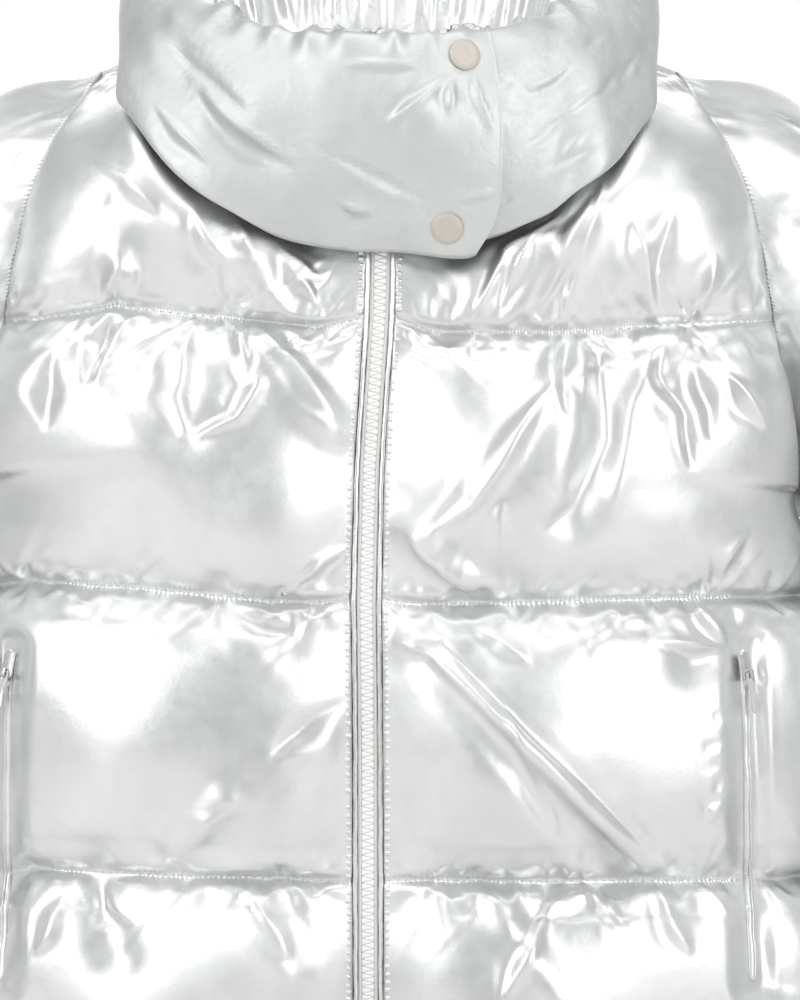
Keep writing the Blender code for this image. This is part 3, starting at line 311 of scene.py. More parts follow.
def raglan_rows(y_index):
    """The seam's points at the rows of the yoke and of the rows down to the underarm."""
    curve = raglan_curve(y_index)
    split = int(np.argmin(np.abs(curve[:70, 2] - SEAM_HEIGHTS[0])))
    upper = read_at(curve[: split + 1], YOKE_ROWS)
    shares = np.array(UNDERARM_ROWS[: UNDERARM_ROW + 1]) / UNDERARM_ROWS[UNDERARM_ROW]
    lower = read_at(curve[split:], shares)
    return upper, lower


def coons(top, bottom, left, right):
    """A smooth patch between four edges; left and right run from top to bottom."""
    columns = len(top)
    v = lengths_along(right)
    v = v / v[-1]
    u = np.linspace(0.0, 1.0, columns)[None, :, None]
    v = v[:, None, None]
    ruled_down = (1 - v) * top[None] + v * bottom[None]
    ruled_across = (1 - u) * left[:, None] + u * right[:, None]
    corners = (1 - u) * (1 - v) * top[0] + u * (1 - v) * top[-1]
    corners = corners + (1 - u) * v * bottom[0] + u * v * bottom[-1]
    return ruled_down + ruled_across - corners


def lower_heights():
    """Heights of the rows under the first seam, with each row's share of its quilting channel."""
    heights, shares = [], []
    for number in range(len(SEAM_HEIGHTS) - 1):
        rows = UNDERARM_ROWS if number == 0 else PUFF_ROWS
        above, below = SEAM_HEIGHTS[number], SEAM_HEIGHTS[number + 1]
        for share in rows[1:]:
            heights.append(above + (below - above) * share)
            shares.append(share)
    return heights, shares


def side_point(height, rows_on_raglan, number):
    """A row's outer end: on the sleeve seam as far as the underarm, then on the side seam."""
    if number < UNDERARM_ROW:
        return rows_on_raglan[number + 1]
    return np.array((column(TORSO, height, 1), 0.0, height))


def front_grid(side):
    """Base points of a front panel, from the shoulder line to the hem and from the zip to the side."""
    on_yoke, on_raglan = raglan_rows(2)
    edge = side * ZIP_HALF_WIDTH

    def zip_edge(height):
        middle = column(ZIP_LINE, height, 1) + edge
        return np.array((side * middle, -column(TORSO, height, 2), height))

    first_angle = math.asin(zip_edge(-0.098)[0] / NECK_HALF_WIDTH)
    angles = np.linspace(math.pi / 2, first_angle, YOKE_NECK_ROW + 1)
    left = [neckline(angle) for angle in angles]
    corner_height = left[-1][2]
    for share in (0.5, 1.0):
        height = corner_height + (SEAM_HEIGHTS[0] - corner_height) * share
        left.append(tuple(zip_edge(height)))
    left = np.array(left)
    left[YOKE_NECK_ROW][1] = -column(TORSO, corner_height, 2)
    top = np.linspace(left[0], on_yoke[0], FRONT_COLUMNS + 1)
    seam = resampled(rounded_arc(left[-1], on_yoke[-1]), FRONT_COLUMNS)
    rows = list(coons(top, seam, left, on_yoke))
    heights, shares = lower_heights()
    for number, height in enumerate(heights):
        outer = side_point(height, on_raglan, number)
        rows.append(resampled(rounded_arc(zip_edge(height), outer), FRONT_COLUMNS))
    grid = np.array(rows)
    if side < 0:
        grid = grid * MIRROR
    return grid, list(YOKE_ROWS) + shares


def back_grid():
    """Base points of the back, from the wearer's right sleeve seam round to the left one."""
    on_yoke, on_raglan = raglan_rows(3)
    neck_side = np.array(neckline(math.pi / 2))
    shoulder = np.linspace(on_yoke[0], neck_side, SHOULDER_COLUMNS + 1)
    angles = np.linspace(-math.pi / 2, -3 * math.pi / 2, BACK_NECK_COLUMNS + 1)
    neck = np.array([neckline(angle) for angle in angles])
    top = np.concatenate([shoulder[:-1] * MIRROR, neck, shoulder[::-1][1:]])
    columns = len(top) - 1

    def row_between(outer, height):
        middle = np.array((0.0, column(TORSO, height, 3), height))
        half = rounded_arc(middle, outer)
        whole = np.concatenate([half[::-1] * MIRROR, half[1:]])
        return resampled(whole, columns)

    seam = row_between(on_yoke[-1], SEAM_HEIGHTS[0])
    rows = list(coons(top, seam, on_yoke * MIRROR, on_yoke))
    heights, shares = lower_heights()
    for number, height in enumerate(heights):
        rows.append(row_between(side_point(height, on_raglan, number), height))
    return np.array(rows), list(YOKE_ROWS) + shares


def arm_ring(centre, radius, lean, angles):
    """A ring round the arm, square to its lean."""
    out = np.array((math.cos(lean), 0.0, math.sin(lean)))
    front = np.array((0.0, -1.0, 0.0))
    turned = np.cos(angles)[:, None] * out + np.sin(angles)[:, None] * front
    return np.array(centre) + radius * turned


def sleeve_grid():
    """Base points of the wearer's left sleeve: rings from the raglan seam to the cuff, columns from the top
    of the shoulder over the front, the underarm and the back."""
    front = np.concatenate([raglan_rows(2)[0], raglan_rows(2)[1][1:]])
    back = np.concatenate([raglan_rows(3)[0], raglan_rows(3)[1][1:]])
    loop = np.concatenate([front, back[::-1][1:-1]])
    half = len(front) - 1
    angles = np.arange(2 * half) * math.pi / half
    over = (1 - np.cos(angles))[:, None] / 2
    along_top = np.array((math.cos(SHOULDER_SLOPE), 0.0, -math.sin(SHOULDER_SLOPE)))
    along_under = np.array((0.92, 0.0, -0.39))
    leave = unit((1 - over) * along_top + over * along_under)
    upper_arm = np.array((math.sin(ELBOW_LEAN), 0.0, -math.cos(ELBOW_LEAN)))
    forearm = np.array((math.sin(CUFF_LEAN), -0.08, -math.cos(CUFF_LEAN)))
    elbow = arm_ring(ELBOW, ELBOW_RADIUS, ELBOW_LEAN, angles)
    cuff = arm_ring(CUFF, CUFF_RADIUS, CUFF_LEAN, angles)
    upper_length = np.linalg.norm(elbow - loop, axis=1, keepdims=True)
    lower_length = np.linalg.norm(cuff - elbow, axis=1, keepdims=True)
    upper_shares = [(number + share) / 3 for number in range(3) for share in SLEEVE_ROWS[:-1]]
    lower_shares = [(number + share) / 2 for number in range(2) for share in SLEEVE_ROWS[:-1]]
    upper = hermite(loop, leave * upper_length, elbow, upper_arm * upper_length, upper_shares)
    lower = hermite(elbow, upper_arm * lower_length, cuff, forearm * lower_length, lower_shares + [1.0])
    shares = list(SLEEVE_ROWS[:-1]) * 5 + [1.0]
    return np.concatenate([upper, lower]), shares


def grid_normals(grid, closed):
    """Unit normals of a grid's surface, not yet turned outward."""
    if closed:
        padded = np.concatenate([grid[:, -1:], grid, grid[:, :1]], axis=1)
        across = (padded[:, 2:] - padded[:, :-2]) / 2
    else:
        across = np.gradient(grid, axis=1)
    down = np.gradient(grid, axis=0)
    return unit(np.cross(down, across))


def outward(grid, normals, closed):
    """Normals turned away from the sleeve's or the body's middle."""
    if closed:
        middle = grid.mean(axis=1, keepdims=True)
        away = grid - middle
    else:
        away = grid * np.array((1.0, 1.6, 0.0)) + np.array((0.0, 0.0, 0.08))
    turn = np.sign((normals * away).sum(axis=(0, 1, 2)))
    return normals * turn


class Panel:
    """A wall of cloth: base points, normals, and the height of its padded outer side over them."""

    def __init__(self, name, grid, shares, closed=False):
        self.name = name
        self.grid = grid
        self.shares = np.array(shares)
        self.closed = closed
        self.normals = outward(grid, grid_normals(grid, closed), closed)

    def inset(self):
        """Base points drawn back by half a seam gap, square to every open edge."""
        points = self.grid.copy()
        half = SEAM_GAP / 2 + 0.02 * MM
        edges = [(np.s_[0], np.s_[1]), (np.s_[-1], np.s_[-2])]
        if not self.closed:
            edges += [(np.s_[:, 0], np.s_[:, 1]), (np.s_[:, -1], np.s_[:, -2])]
        for edge, beside in edges:
            rim = self.grid[edge]
            if self.closed:
                along = np.roll(rim, -1, axis=0) - np.roll(rim, 1, axis=0)
            else:
                along = np.gradient(rim, axis=0)
            square = unit(np.cross(self.normals[edge], along))
            turn = np.sign((square * unit(self.grid[beside] - rim)).sum())
            points[edge] += square * turn * half
        return points


def share_normals(panels):
    """Seams that panels share get one normal, so that their rims stay side by side."""
    found = {}
    for panel in panels:
        for index in np.ndindex(panel.grid.shape[:2]):
            key = tuple(np.round(panel.grid[index] / (0.05 * MM)).astype(int))
            found.setdefault(key, []).append((panel, index))
    for places in found.values():
        if len({id(panel) for panel, _ in places}) < 2:
            continue
        total = unit(sum(panel.normals[index] for panel, index in places))
        for panel, index in places:
            panel.normals[index] = total


def level_shoulder_normals(panels):
    """Along the straight shoulder seams the normals turn evenly from end to end, on both sides alike."""
    for panel, first, last in panels:
        start, end = panel.normals[0, first].copy(), panel.normals[0, last].copy()
        count = abs(last - first)
        step = 1 if last > first else -1
        for number in range(count + 1):
            share = number / count
            panel.normals[0, first + step * number] = unit(start * (1 - share) + end * share)


def channel(shares):
    """A quilting channel's height over its width, from 0 at a seam to 1 in its middle."""
    return np.sin(np.pi * np.clip(shares, 0.0, 1.0)) ** CHANNEL_FULLNESS


def rise(distance, reach):
    """0 at an edge, 1 once the reach is passed, smooth between."""
    t = np.clip(distance / reach, 0.0, 1.0)
    return np.sin(t * math.pi / 2)


def unevenness(grid, seed):
    """A slow wave over the padding, so that no two stretches of a channel are alike."""
    x, y, z = grid[..., 0], grid[..., 1], grid[..., 2]
    wave = np.sin(31 * x + 17 * z + seed) * np.sin(23 * z - 19 * y + 2 * seed)
    return 1.0 + 0.16 * wave + 0.07 * np.sin(67 * x - 41 * z + 3 * seed)


def segment_distance(points, start, end):
    """How far places on a plane are from a straight stretch."""
    start, end = np.array(start), np.array(end)
    along = end - start
    t = np.clip(((points - start) @ along) / (along @ along), 0.0, 1.0)
    return np.linalg.norm(points - (start + t[..., None] * along), axis=-1)


def folds_over(grid, folds, side):
    """Heights of the largest folds, as soft ridges and troughs along straight stretches."""
    total = np.zeros(grid.shape[:2])
    for fold_side, x0, z0, x1, z1, width, height in folds:
        if fold_side == side:
            apart = segment_distance(grid[..., [0, 2]], (x0, z0), (x1, z1))
            total += height * np.exp(-((apart / width) ** 2))
    return total


def pocket_line(side):
    """Top and foot of one side's pocket zip, as places across and up."""
    return [(side * (x + POCKET_FURTHER[side]), z) for x, z in (POCKET_TOP, POCKET_FOOT)]


# Where the padding thins out: the height it keeps at an edge as a share, and how far from the edge it is full
YOKE_FILL = 0.85
SIDE_KEEPS, ARMHOLE_KEEPS, SIDE_REACH = 0.30, 0.06, 0.055
ZIP_KEEPS, ZIP_REACH = 0.22, 0.050
SHOULDER_KEEPS, SHOULDER_REACH = 0.25, 0.050
UNDERARM = (0.207, 0.0, UNDERARM_HEIGHT)
UNDERARM_BARE, UNDERARM_REACH = 0.012, 0.075
NECK_BARE, NECK_REACH = 0.014, 0.034
POCKET_SINKS, POCKET_REACH = 0.55, 0.012
SLEEVE_RISE, SLEEVE_REACH = 0.15, 0.060


def body_height(panel, side):
    """The padding's height over a front or the back."""
    grid = panel.grid
    y, z = grid[..., 1], grid[..., 2]
    height = BODY_PUFF * channel(panel.shares)[:, None] * unevenness(grid, 1.3 + side)
    height = height * (YOKE_FILL + (1.0 - YOKE_FILL) * (z < SEAM_HEIGHTS[0]))
    to_side = np.linalg.norm(grid - grid[:, -1:], axis=-1)
    below_armhole = grid[:, -1:, 2] < UNDERARM_HEIGHT - 1.0 * MM
    low = ARMHOLE_KEEPS + (SIDE_KEEPS - ARMHOLE_KEEPS) * below_armhole
    height *= low + (1.0 - low) * rise(to_side, SIDE_REACH)
    to_edge = np.linalg.norm(grid - grid[:, :1], axis=-1)
    if side:
        height *= ZIP_KEEPS + (1.0 - ZIP_KEEPS) * rise(to_edge, ZIP_REACH)
    else:
        height *= low + (1.0 - low) * rise(to_edge, SIDE_REACH)
    apart = np.linalg.norm(np.abs(grid) * (1, 1, -1) - np.array(UNDERARM), axis=-1)
    height *= rise(apart - UNDERARM_BARE, UNDERARM_REACH)
    shoulder = np.linalg.norm(grid[..., [0, 2]] - grid[:1, :, [0, 2]], axis=-1) + np.abs(y - grid[:1, :, 1])
    height *= SHOULDER_KEEPS + (1.0 - SHOULDER_KEEPS) * rise(shoulder, SHOULDER_REACH)
    neck = np.array([neckline(angle) for angle in np.linspace(-math.pi, math.pi, 181)])
    to_neck = np.linalg.norm(grid[:, :, None] - neck[None, None], axis=-1).min(axis=2)
    height *= rise(to_neck - NECK_BARE, NECK_REACH)
    folds = folds_over(grid, FRONT_FOLDS if side else BACK_FOLDS, side)
    height += folds * np.clip(height / (0.5 * BODY_PUFF), 0.0, 1.0)
    if side:
        apart = segment_distance(grid[..., [0, 2]], *pocket_line(side))
        height *= 1.0 - POCKET_SINKS * np.exp(-((apart / POCKET_REACH) ** 2))
    return np.maximum(height, 0.0)


def neck_nodes(front_left, back, front_right):
    """The collar seam's own points and normals, from the zip's left edge round the neck to its right edge."""
    left = slice(YOKE_NECK_ROW, None, -1)
    inner = slice(SHOULDER_COLUMNS, SHOULDER_COLUMNS + BACK_NECK_COLUMNS + 1)
    right = slice(1, YOKE_NECK_ROW + 1)
    points, normals = (
        np.concatenate([getattr(front_left, kind)[left, 0], getattr(back, kind)[0, inner][::-1][1:],
                        getattr(front_right, kind)[right, 0]])
        for kind in ("grid", "normals")
    )
    start = math.asin(points[0][0] / NECK_HALF_WIDTH)
    end = 2 * math.pi + math.asin(points[-1][0] / NECK_HALF_WIDTH)
    angles = np.concatenate([
        np.linspace(start, math.pi / 2, YOKE_NECK_ROW + 1),
        np.linspace(math.pi / 2, 3 * math.pi / 2, BACK_NECK_COLUMNS + 1)[1:],
        np.linspace(3 * math.pi / 2, end, YOKE_NECK_ROW + 1)[1:],
    ])
    flat_out = np.stack([np.sin(angles), -np.cos(angles), -0.8 + 0 * angles], axis=1)
    away = unit(np.cross(normals, np.gradient(points, axis=0)))
    away *= np.sign((away * flat_out).sum(axis=1, keepdims=True))
    return points, normals, away, angles


def collar_edge_height(angle):
    """Height of the collar's lower edge: a squarish dip in front, nearly level behind."""
    side, front = math.sin(angle), math.cos(angle)
    if front > 0.0:
        share = max(0.0, 1.0 - abs(side) ** COLLAR_ROUNDNESS) ** (1.0 / COLLAR_ROUNDNESS)
        return COLLAR_EDGE_SIDE - (COLLAR_DROP + COLLAR_EDGE_SIDE) * share
    return COLLAR_EDGE_SIDE - COLLAR_EDGE_RISE * front


def plan(angle, front_depth, back_depth):
    """Depth of the collar's oval at an angle, about a middle 10 mm in front of the origin."""
    front = math.cos(angle)
    return COLLAR_MIDDLE_Y - front * (front_depth if front > 0.0 else back_depth)


def gather(angle):
    """The rim's gathers: uneven ridges and troughs."""
    wave = math.sin(49 * angle + 1.4 * math.sin(5 * angle)) + 0.35 * math.sin(23 * angle + 1.0)
    return GATHER_DEPTH * wave


def eased(t):
    """A share from 0 to 1 that leaves both ends gently."""
    return t * t * (3 - 2 * t)


def smooth(value, low, high):
    """0 below the low value, 1 above the high one, eased between."""
    return eased(min(max((value - low) / (high - low), 0.0), 1.0))


def collar_sections(points, normals, aways, angles, body):
    """Closed sections of the collar's padded wall, then of the flap that laps over its other end."""
    sections = []
    nodes = np.arange(len(points))
    fine = np.linspace(0, len(points) - 1, (len(points) - 1) * COLLAR_STEPS + 1)
    flap_angle = math.asin(FLAP_END / (COLLAR_HALF_WIDTH + FLAP_OUTSIDE)) + 2 * math.pi
    flap = np.linspace(angles[-1], flap_angle, FLAP_STEPS + 1)[1:]

    def bulge_at(x, z, share):
        depth = COLLAR_BULGE * math.sin(math.pi * share) ** COLLAR_FULLNESS
        for x0, z0, x1, z1, width, height in COLLAR_FOLDS:
            apart = segment_distance(np.array((x, z)), (x0, z0), (x1, z1))
            depth += height * math.exp(-((float(apart) / width) ** 2))
        for snap_x, snap_z in SNAP_PLACES.values():
            apart = math.hypot(x - snap_x, z - snap_z)
            depth -= SNAP_DIMPLE * math.exp(-((apart / SNAP_DIMPLE_REACH) ** 2))
        return depth

    def rest_on_body(aim, angle):
        """The body's skin under a place of the collar, met from outside, and its outward normal."""
        side, front = math.sin(angle), math.cos(angle)
        out = Vector((0.35 * side, -front, 0.12 + 0.80 * side * side - 0.5 * min(front, 0.0))).normalized()
        along = Vector((front, side, 0.0))
        best = None
        for shift in (0.0, -2.5 * MM, 2.5 * MM):
            place, slope, _, _ = body.ray_cast(aim + out * 0.2 + along * shift, -out, 0.6)
            if place is not None and (best is None or (place - aim).dot(out) > best[0]):
                best = ((place - aim).dot(out), slope if slope.dot(out) > 0.0 else -slope)
        return np.array(aim + out * best[0]), np.array(best[1])

    def section(angle, seam, normal, away, lift, full):
        flat_out = unit(np.array((math.sin(angle), -math.cos(angle), 0.0)))
        up = np.array((0.0, 0.0, 1.0))
        edge_height = collar_edge_height(angle)
        x = COLLAR_HALF_WIDTH * math.sin(angle)
        if away is None:
            edge_height -= FLAP_DROP * smooth(x, 0.0, FLAP_END)
        rim = np.array((x, plan(angle, COLLAR_RIM_FRONT + COLLAR_MIDDLE_Y, COLLAR_RIM_BACK - COLLAR_MIDDLE_Y),
                        collar_edge_height(angle) + COLLAR_HEIGHT))
        edge = Vector((x, plan(angle, COLLAR_EDGE_FRONT, COLLAR_EDGE_BACK), edge_height))
        place, slope = rest_on_body(edge, angle)
        foot = place + slope * FOOT_CLEARANCE
        toe = place + slope * TOE_CLEARANCE + flat_out * 1.5 * MM
        rim_in = rim - flat_out * COLLAR_RIM_THICKNESS

        def inner(share):
            point = seam + (rim_in - seam) * share + flat_out * 4 * MM * math.sin(math.pi * share)
            return point + flat_out * lift

        def outer(share):
            point = toe + (rim - toe) * share
            return point + flat_out * bulge_at(point[0], point[2], share)

        middle = (np.array(seam) + place) / 2
        mid_place, mid_slope = rest_on_body(Vector(middle), angle)
        under = mid_place + mid_slope * UNDER_CLEARANCE
        if away is not None:
            lip_out = seam + normal * (HALF_WALL + LIP_STEP) - away * LIP_STEP
            lip_in = seam - normal * HALF_WALL - away * LIP_STEP
        else:
            lip_in = inner(0.10)
            lip_out = inner(0.02)
            under = foot + (inner(0.02) - foot) * 0.45
        ripple = gather(angle)
        tall = [outer(share) for share in OUTER_SHARES]
        top_out = rim - up * RIM_ROUNDING + flat_out * (2 * MM + ripple)
        top = rim - flat_out * 4 * MM + up * ripple * 0.8
        top_in = rim_in - up * RIM_ROUNDING + flat_out * (lift * 0.6 - ripple)
        walls = [inner(share) for share in INNER_SHARES]
        if full < 1.0:
            step = UNDER_STEP * (1.0 - full)
            thin_tall = [inner(share) + flat_out * UNDER_THICKNESS * 0.9 for share in OUTER_SHARES]
            tall = [a * (1 - full) + b * full for a, b in zip(thin_tall, tall)]
            low_lip = lip_out + flat_out * 1.0 * MM + up * 1.2 * MM
            under = low_lip * (1 - full) + under * full
            low_foot = lip_out + flat_out * 3.5 * MM + up * 2.2 * MM
            foot = low_foot * (1 - full) + foot * full
            thin_toe = inner(0.09) + flat_out * UNDER_THICKNESS * 0.85
            toe = thin_toe * (1 - full) + toe * full
            thin_top = inner(1.0) + flat_out * (4.5 * MM + 0.3 * ripple)
            top_out = (thin_top - up * RIM_ROUNDING) * (1 - full) + top_out * full - up * step
            top = (inner(1.0) + flat_out * 2 * MM) * (1 - full) + top * full - up * step
            top_in = top_in - up * step
        return [lip_in, lip_out, under, foot, toe, *tall, top_out, top, top_in, *walls]

    for knot in fine:
        seam = between(knot, nodes, points)
        normal = unit(between(knot, nodes, normals))
        angle = float(np.interp(knot, nodes, angles))
        full = smooth(angle, *FLAP_BEGINS)
        lift = 4 * MM * smooth(angle, angles[-1] - 0.35, angles[-1])
        away = unit(between(knot, nodes, aways))
        sections.append(section(angle, seam, normal, away, lift, full))
    for number, angle in enumerate(flap):
        seam = np.array(neckline(angle))
        lift = FLAP_LIFTS[min(number, 1)]
        sections.append(section(angle, seam, np.array((0.0, -1.0, 0.0)), None, lift, 1.0))
    return sections


def seen_from_front(surface, x, z):
    """The first place of a surface met from in front, and its normal."""
    return surface.ray_cast(Vector((x, -0.5, z)), Vector((0.0, 1.0, 0.0)), 1.0)[:2]


def frame_at(surface, x, z):
    """A place on the front's skin, with its outward normal, a level axis across and one down the cloth."""
    normals, depths = [], []
    for dx, dz in ((0, 0), (2, 0), (-2, 0), (0, 4), (0, -4)):
        hit, near = seen_from_front(surface, x + dx * MM, z + dz * MM)
        if hit is None:
            continue
        near = np.array(near)
        normals.append(near if near[1] < 0 else -near)
        depths.append(hit.y)
    normal = unit(np.mean(normals, axis=0))
    across = unit(np.cross(normal, np.array((0.0, 0.0, 1.0))))
    across = across * (1.0 if across[0] > 0 else -1.0)
    down = unit(np.cross(across, normal))
    down = down * (1.0 if down[2] < 0 else -1.0)
    return np.array((x, depths[0], z)), normal, across, down


def surface_of(objects):
    """The outer skins of some objects as one surface to place things on."""
    points, faces = [], []
    for made in objects:
        first = len(points)
        points += [vertex.co.copy() for vertex in made.data.vertices]
        faces += [[first + index for index in face.vertices] for face in made.data.polygons]
    return BVHTree.FromPolygons(points, faces, epsilon=0.0)


# ---------------------------------------------------------------- fine grids

def index_steps(grid, axis, step, wrap=False):
    """Fractional places along a grid's rows or columns, about one step of cloth apart."""
    moved = np.roll(grid, -1, axis=axis) - grid if wrap else np.diff(grid, axis=axis)
    lengths = np.linalg.norm(moved, axis=-1).mean(axis=1 - axis)
    places = []
    for number, length in enumerate(lengths):
        count = max(1, int(round(length / step)))
        places += [number + k / count for k in range(count)]
    if not wrap:
        places.append(float(len(lengths)))
    return np.array(places)


def curve_through(values, places, axis, wrap=False):
    """Values read between a grid's rows or columns along smooth curves."""
    values = np.moveaxis(values, axis, 0)
    count = len(values)
    first = np.floor(places).astype(int)
    if not wrap:
        first = np.minimum(first, count - 2)
    t = places - first
    t = t.reshape((-1,) + (1,) * (values.ndim - 1))

    def at(offset):
        index = first + offset
        if wrap:
            return values[index % count]
        low = index < 0
        high = index > count - 1
        inside = values[np.clip(index, 0, count - 1)]
        if low.any():
            inside[low] = 2 * values[0] - values[1]
        if high.any():
            inside[high] = 2 * values[-1] - values[-2]
        return inside

    p0, p1, p2, p3 = at(-1), at(0), at(1), at(2)
    result = 0.5 * (
        2 * p1 + (p2 - p0) * t + (2 * p0 - 5 * p1 + 4 * p2 - p3) * t**2 + (3 * p1 - p0 - 3 * p2 + p3) * t**3
    )
    return np.moveaxis(result, 0, axis)


def line_through(values, places):
    """Single numbers read between rows in straight steps; a channel's end counts as 1 and its start as 0."""
    values = np.asarray(values)
    first = np.minimum(np.floor(places).astype(int), len(values) - 2)
    t = places - first
    start = np.where(values[first] >= 1.0, 0.0, values[first])
    end = np.where((values[first + 1] <= 0.0) & (start > 0.0), 1.0, values[first + 1])
    return start + (end - start) * t


def surface_normals(points, wrap):
    """Unit normals of a fine sheet, whose columns may close round a sleeve or a section."""
    if wrap:
        across = np.roll(points, -1, axis=1) - np.roll(points, 1, axis=1)
    else:
        across = np.gradient(points, axis=1)
    return unit(np.cross(np.gradient(points, axis=0), across))


class Cloth:
    """A quilted wall on a fine grid: base points, normals, channel shares and the padding's height."""

    def __init__(self, panel, step):
        self.name = panel.name
        self.wrap = panel.closed
        grid = panel.inset()
        self.rows = index_steps(grid, 0, step)
        self.columns = index_steps(grid, 1, step, self.wrap)
        self.base = curve_through(curve_through(grid, self.rows, 0), self.columns, 1, self.wrap)
        normals = curve_through(curve_through(panel.normals, self.rows, 0), self.columns, 1, self.wrap)
        self.normals = unit(normals)
        self.shares = line_through(panel.shares, self.rows)
        on_seam = [row == int(row) and panel.shares[int(row)] in (0.0, 1.0) for row in self.rows]
        self.seams = np.flatnonzero(on_seam)
        self.grid = self.base
        self.height = None

    def start(self):
        return self.base + self.normals * (HALF_WALL + self.height)[..., None]

    def refine(self, values, times):
        """Values on the sheet read at a few times as many rows and columns."""
        down = np.arange(0, (len(self.rows) - 1) * times + 1) / times
        count = len(self.columns)
        across = np.arange(0, count * times if self.wrap else (count - 1) * times + 1) / times
        return curve_through(curve_through(values, down, 0), across, 1, self.wrap)


# Thin foil-coated cloth: stiff along its threads, and limp to bend
CLOTH_FEEL = {
    "quality": 4,
    "mass": 0.02,
    "tension_stiffness": 12.0,
    "compression_stiffness": 12.0,
    "shear_stiffness": 4.0,
    "bending_stiffness": 0.02,
}


def channel_numbers(cloth):
    """Which quilting channel each fine row lies in."""
    after = np.searchsorted(cloth.seams, np.arange(len(cloth.base)), side="right")
    return np.clip(after - 1, 0, len(cloth.seams) - 2)


def sleeve_padding(cloth, seed):
    """The padding's height over a sleeve, from the width of each channel at each place round the arm."""
    grid = cloth.base
    numbers = channel_numbers(cloth)
    widths = np.linalg.norm(grid[cloth.seams[1:]] - grid[cloth.seams[:-1]], axis=-1)
    tall = np.minimum(SLEEVE_PUFF, SLEEVE_RISE * widths)[numbers]
    height = channel(cloth.shares)[:, None] * tall * unevenness(grid, seed)
    underarm = grid[0, grid.shape[1] // 2]
    height *= rise(np.linalg.norm(grid - underarm, axis=-1) - UNDERARM_BARE, UNDERARM_REACH)
    to_loop = np.linalg.norm(grid - grid[:1], axis=-1)
    return height * (ARMHOLE_KEEPS + (1.0 - ARMHOLE_KEEPS) * rise(to_loop, SLEEVE_REACH))


def quads_of(rows, columns, wrap):
    """The faces of a grid of points."""
    faces = []
    for row in range(rows - 1):
        for col in range(columns if wrap else columns - 1):
            beside = (col + 1) % columns
            start = row * columns
            faces.append((start + col, start + columns + col, start + columns + beside, start + beside))
    return faces


def tube_faces(rows, size):
    """The faces of a row of closed sections, capped at both ends."""
    faces = quads_of(rows, size, True)
    faces.append(tuple(range(size))[::-1])
    faces.append(tuple((rows - 1) * size + k for k in range(size)))
    return faces


def inflate(points, normals, pins, wrap, pressure, growth, frames):
    """Blender's cloth under pressure: the sheet is a little too large for its seams, so it buckles there."""
    rows, columns = points.shape[:2]
    faces = quads_of(rows, columns, wrap)
    if (surface_normals(points, wrap) * normals).sum() < 0.0:
        faces = [face[::-1] for face in faces]
    mesh = bpy.data.meshes.new("inflating")
    mesh.from_pydata(points.reshape(-1, 3).tolist(), [], faces)
    made = bpy.data.objects.new("inflating", mesh)
    bpy.context.scene.collection.objects.link(made)
    group = made.vertex_groups.new(name="pins")
    for index in np.flatnonzero(pins.reshape(-1) > 0.0):
        group.add([int(index)], float(pins.reshape(-1)[index]), "REPLACE")
    cloth = made.modifiers.new("cloth", "CLOTH")
    settings = cloth.settings
    for name, value in CLOTH_FEEL.items():
        setattr(settings, name, value)
    settings.vertex_group_mass = "pins"
    settings.use_pressure = True
    settings.uniform_pressure_force = pressure
    settings.shrink_min = -growth
    settings.effector_weights.gravity = 0.0
    cloth.collision_settings.use_collision = False
    cloth.point_cache.frame_start = 1
    cloth.point_cache.frame_end = frames
    for number in range(1, frames + 1):
        bpy.context.scene.frame_set(number)
    evaluated = made.evaluated_get(bpy.context.evaluated_depsgraph_get())
    settled = evaluated.to_mesh()
    flat = np.empty(len(settled.vertices) * 3)
    settled.vertices.foreach_get("co", flat)
    evaluated.to_mesh_clear()
    bpy.data.objects.remove(made)
    bpy.data.meshes.remove(mesh)
    bpy.context.scene.frame_set(1)
    return flat.reshape(points.shape)


# ---------------------------------------------------------------- folds and puckers

# Seams drift from their level: height of the seam, then distance from the middle and drift, all in metres
SEAM_DRIFTS = {
    "front_left": (
        (-0.143, ((0.00, -0.0080), (0.09, -0.0080), (0.14, -0.0040), (0.20, 0.0))),
        (-0.286, ((0.00, -0.0025), (0.06, -0.0020), (0.13, 0.0), (0.20, 0.0))),
        (-0.428, ((0.00, 0.0010), (0.06, -0.0005), (0.13, -0.0010), (0.20, -0.0035))),
    ),
    "front_right": (
        (-0.143, ((0.00, -0.0065), (0.04, -0.0050), (0.09, 0.0), (0.138, 0.0055), (0.18, 0.0), (0.20, 0.0))),
        (-0.286, ((0.00, -0.0025), (0.06, -0.0010), (0.12, 0.0050), (0.18, 0.0085), (0.20, 0.0060))),
        (-0.428, ((0.00, 0.0), (0.09, 0.0020), (0.18, 0.0035), (0.20, 0.0020))),
    ),
    "back": (
        (-0.143, ((-0.2, 0.0), (-0.1, 0.0035), (0.0, -0.0020), (0.1, 0.0020), (0.2, 0.0))),
        (-0.286, ((-0.2, 0.0), (-0.12, -0.0040), (0.0, 0.0015), (0.1, -0.0035), (0.2, 0.0))),
        (-0.428, ((-0.2, 0.0), (-0.1, 0.0040), (0.02, 0.0), (0.12, 0.0035), (0.2, 0.0))),
        (-0.570, ((-0.2, 0.0), (-0.1, -0.0025), (0.0, 0.0030), (0.1, -0.0020), (0.2, 0.0))),
    ),
}

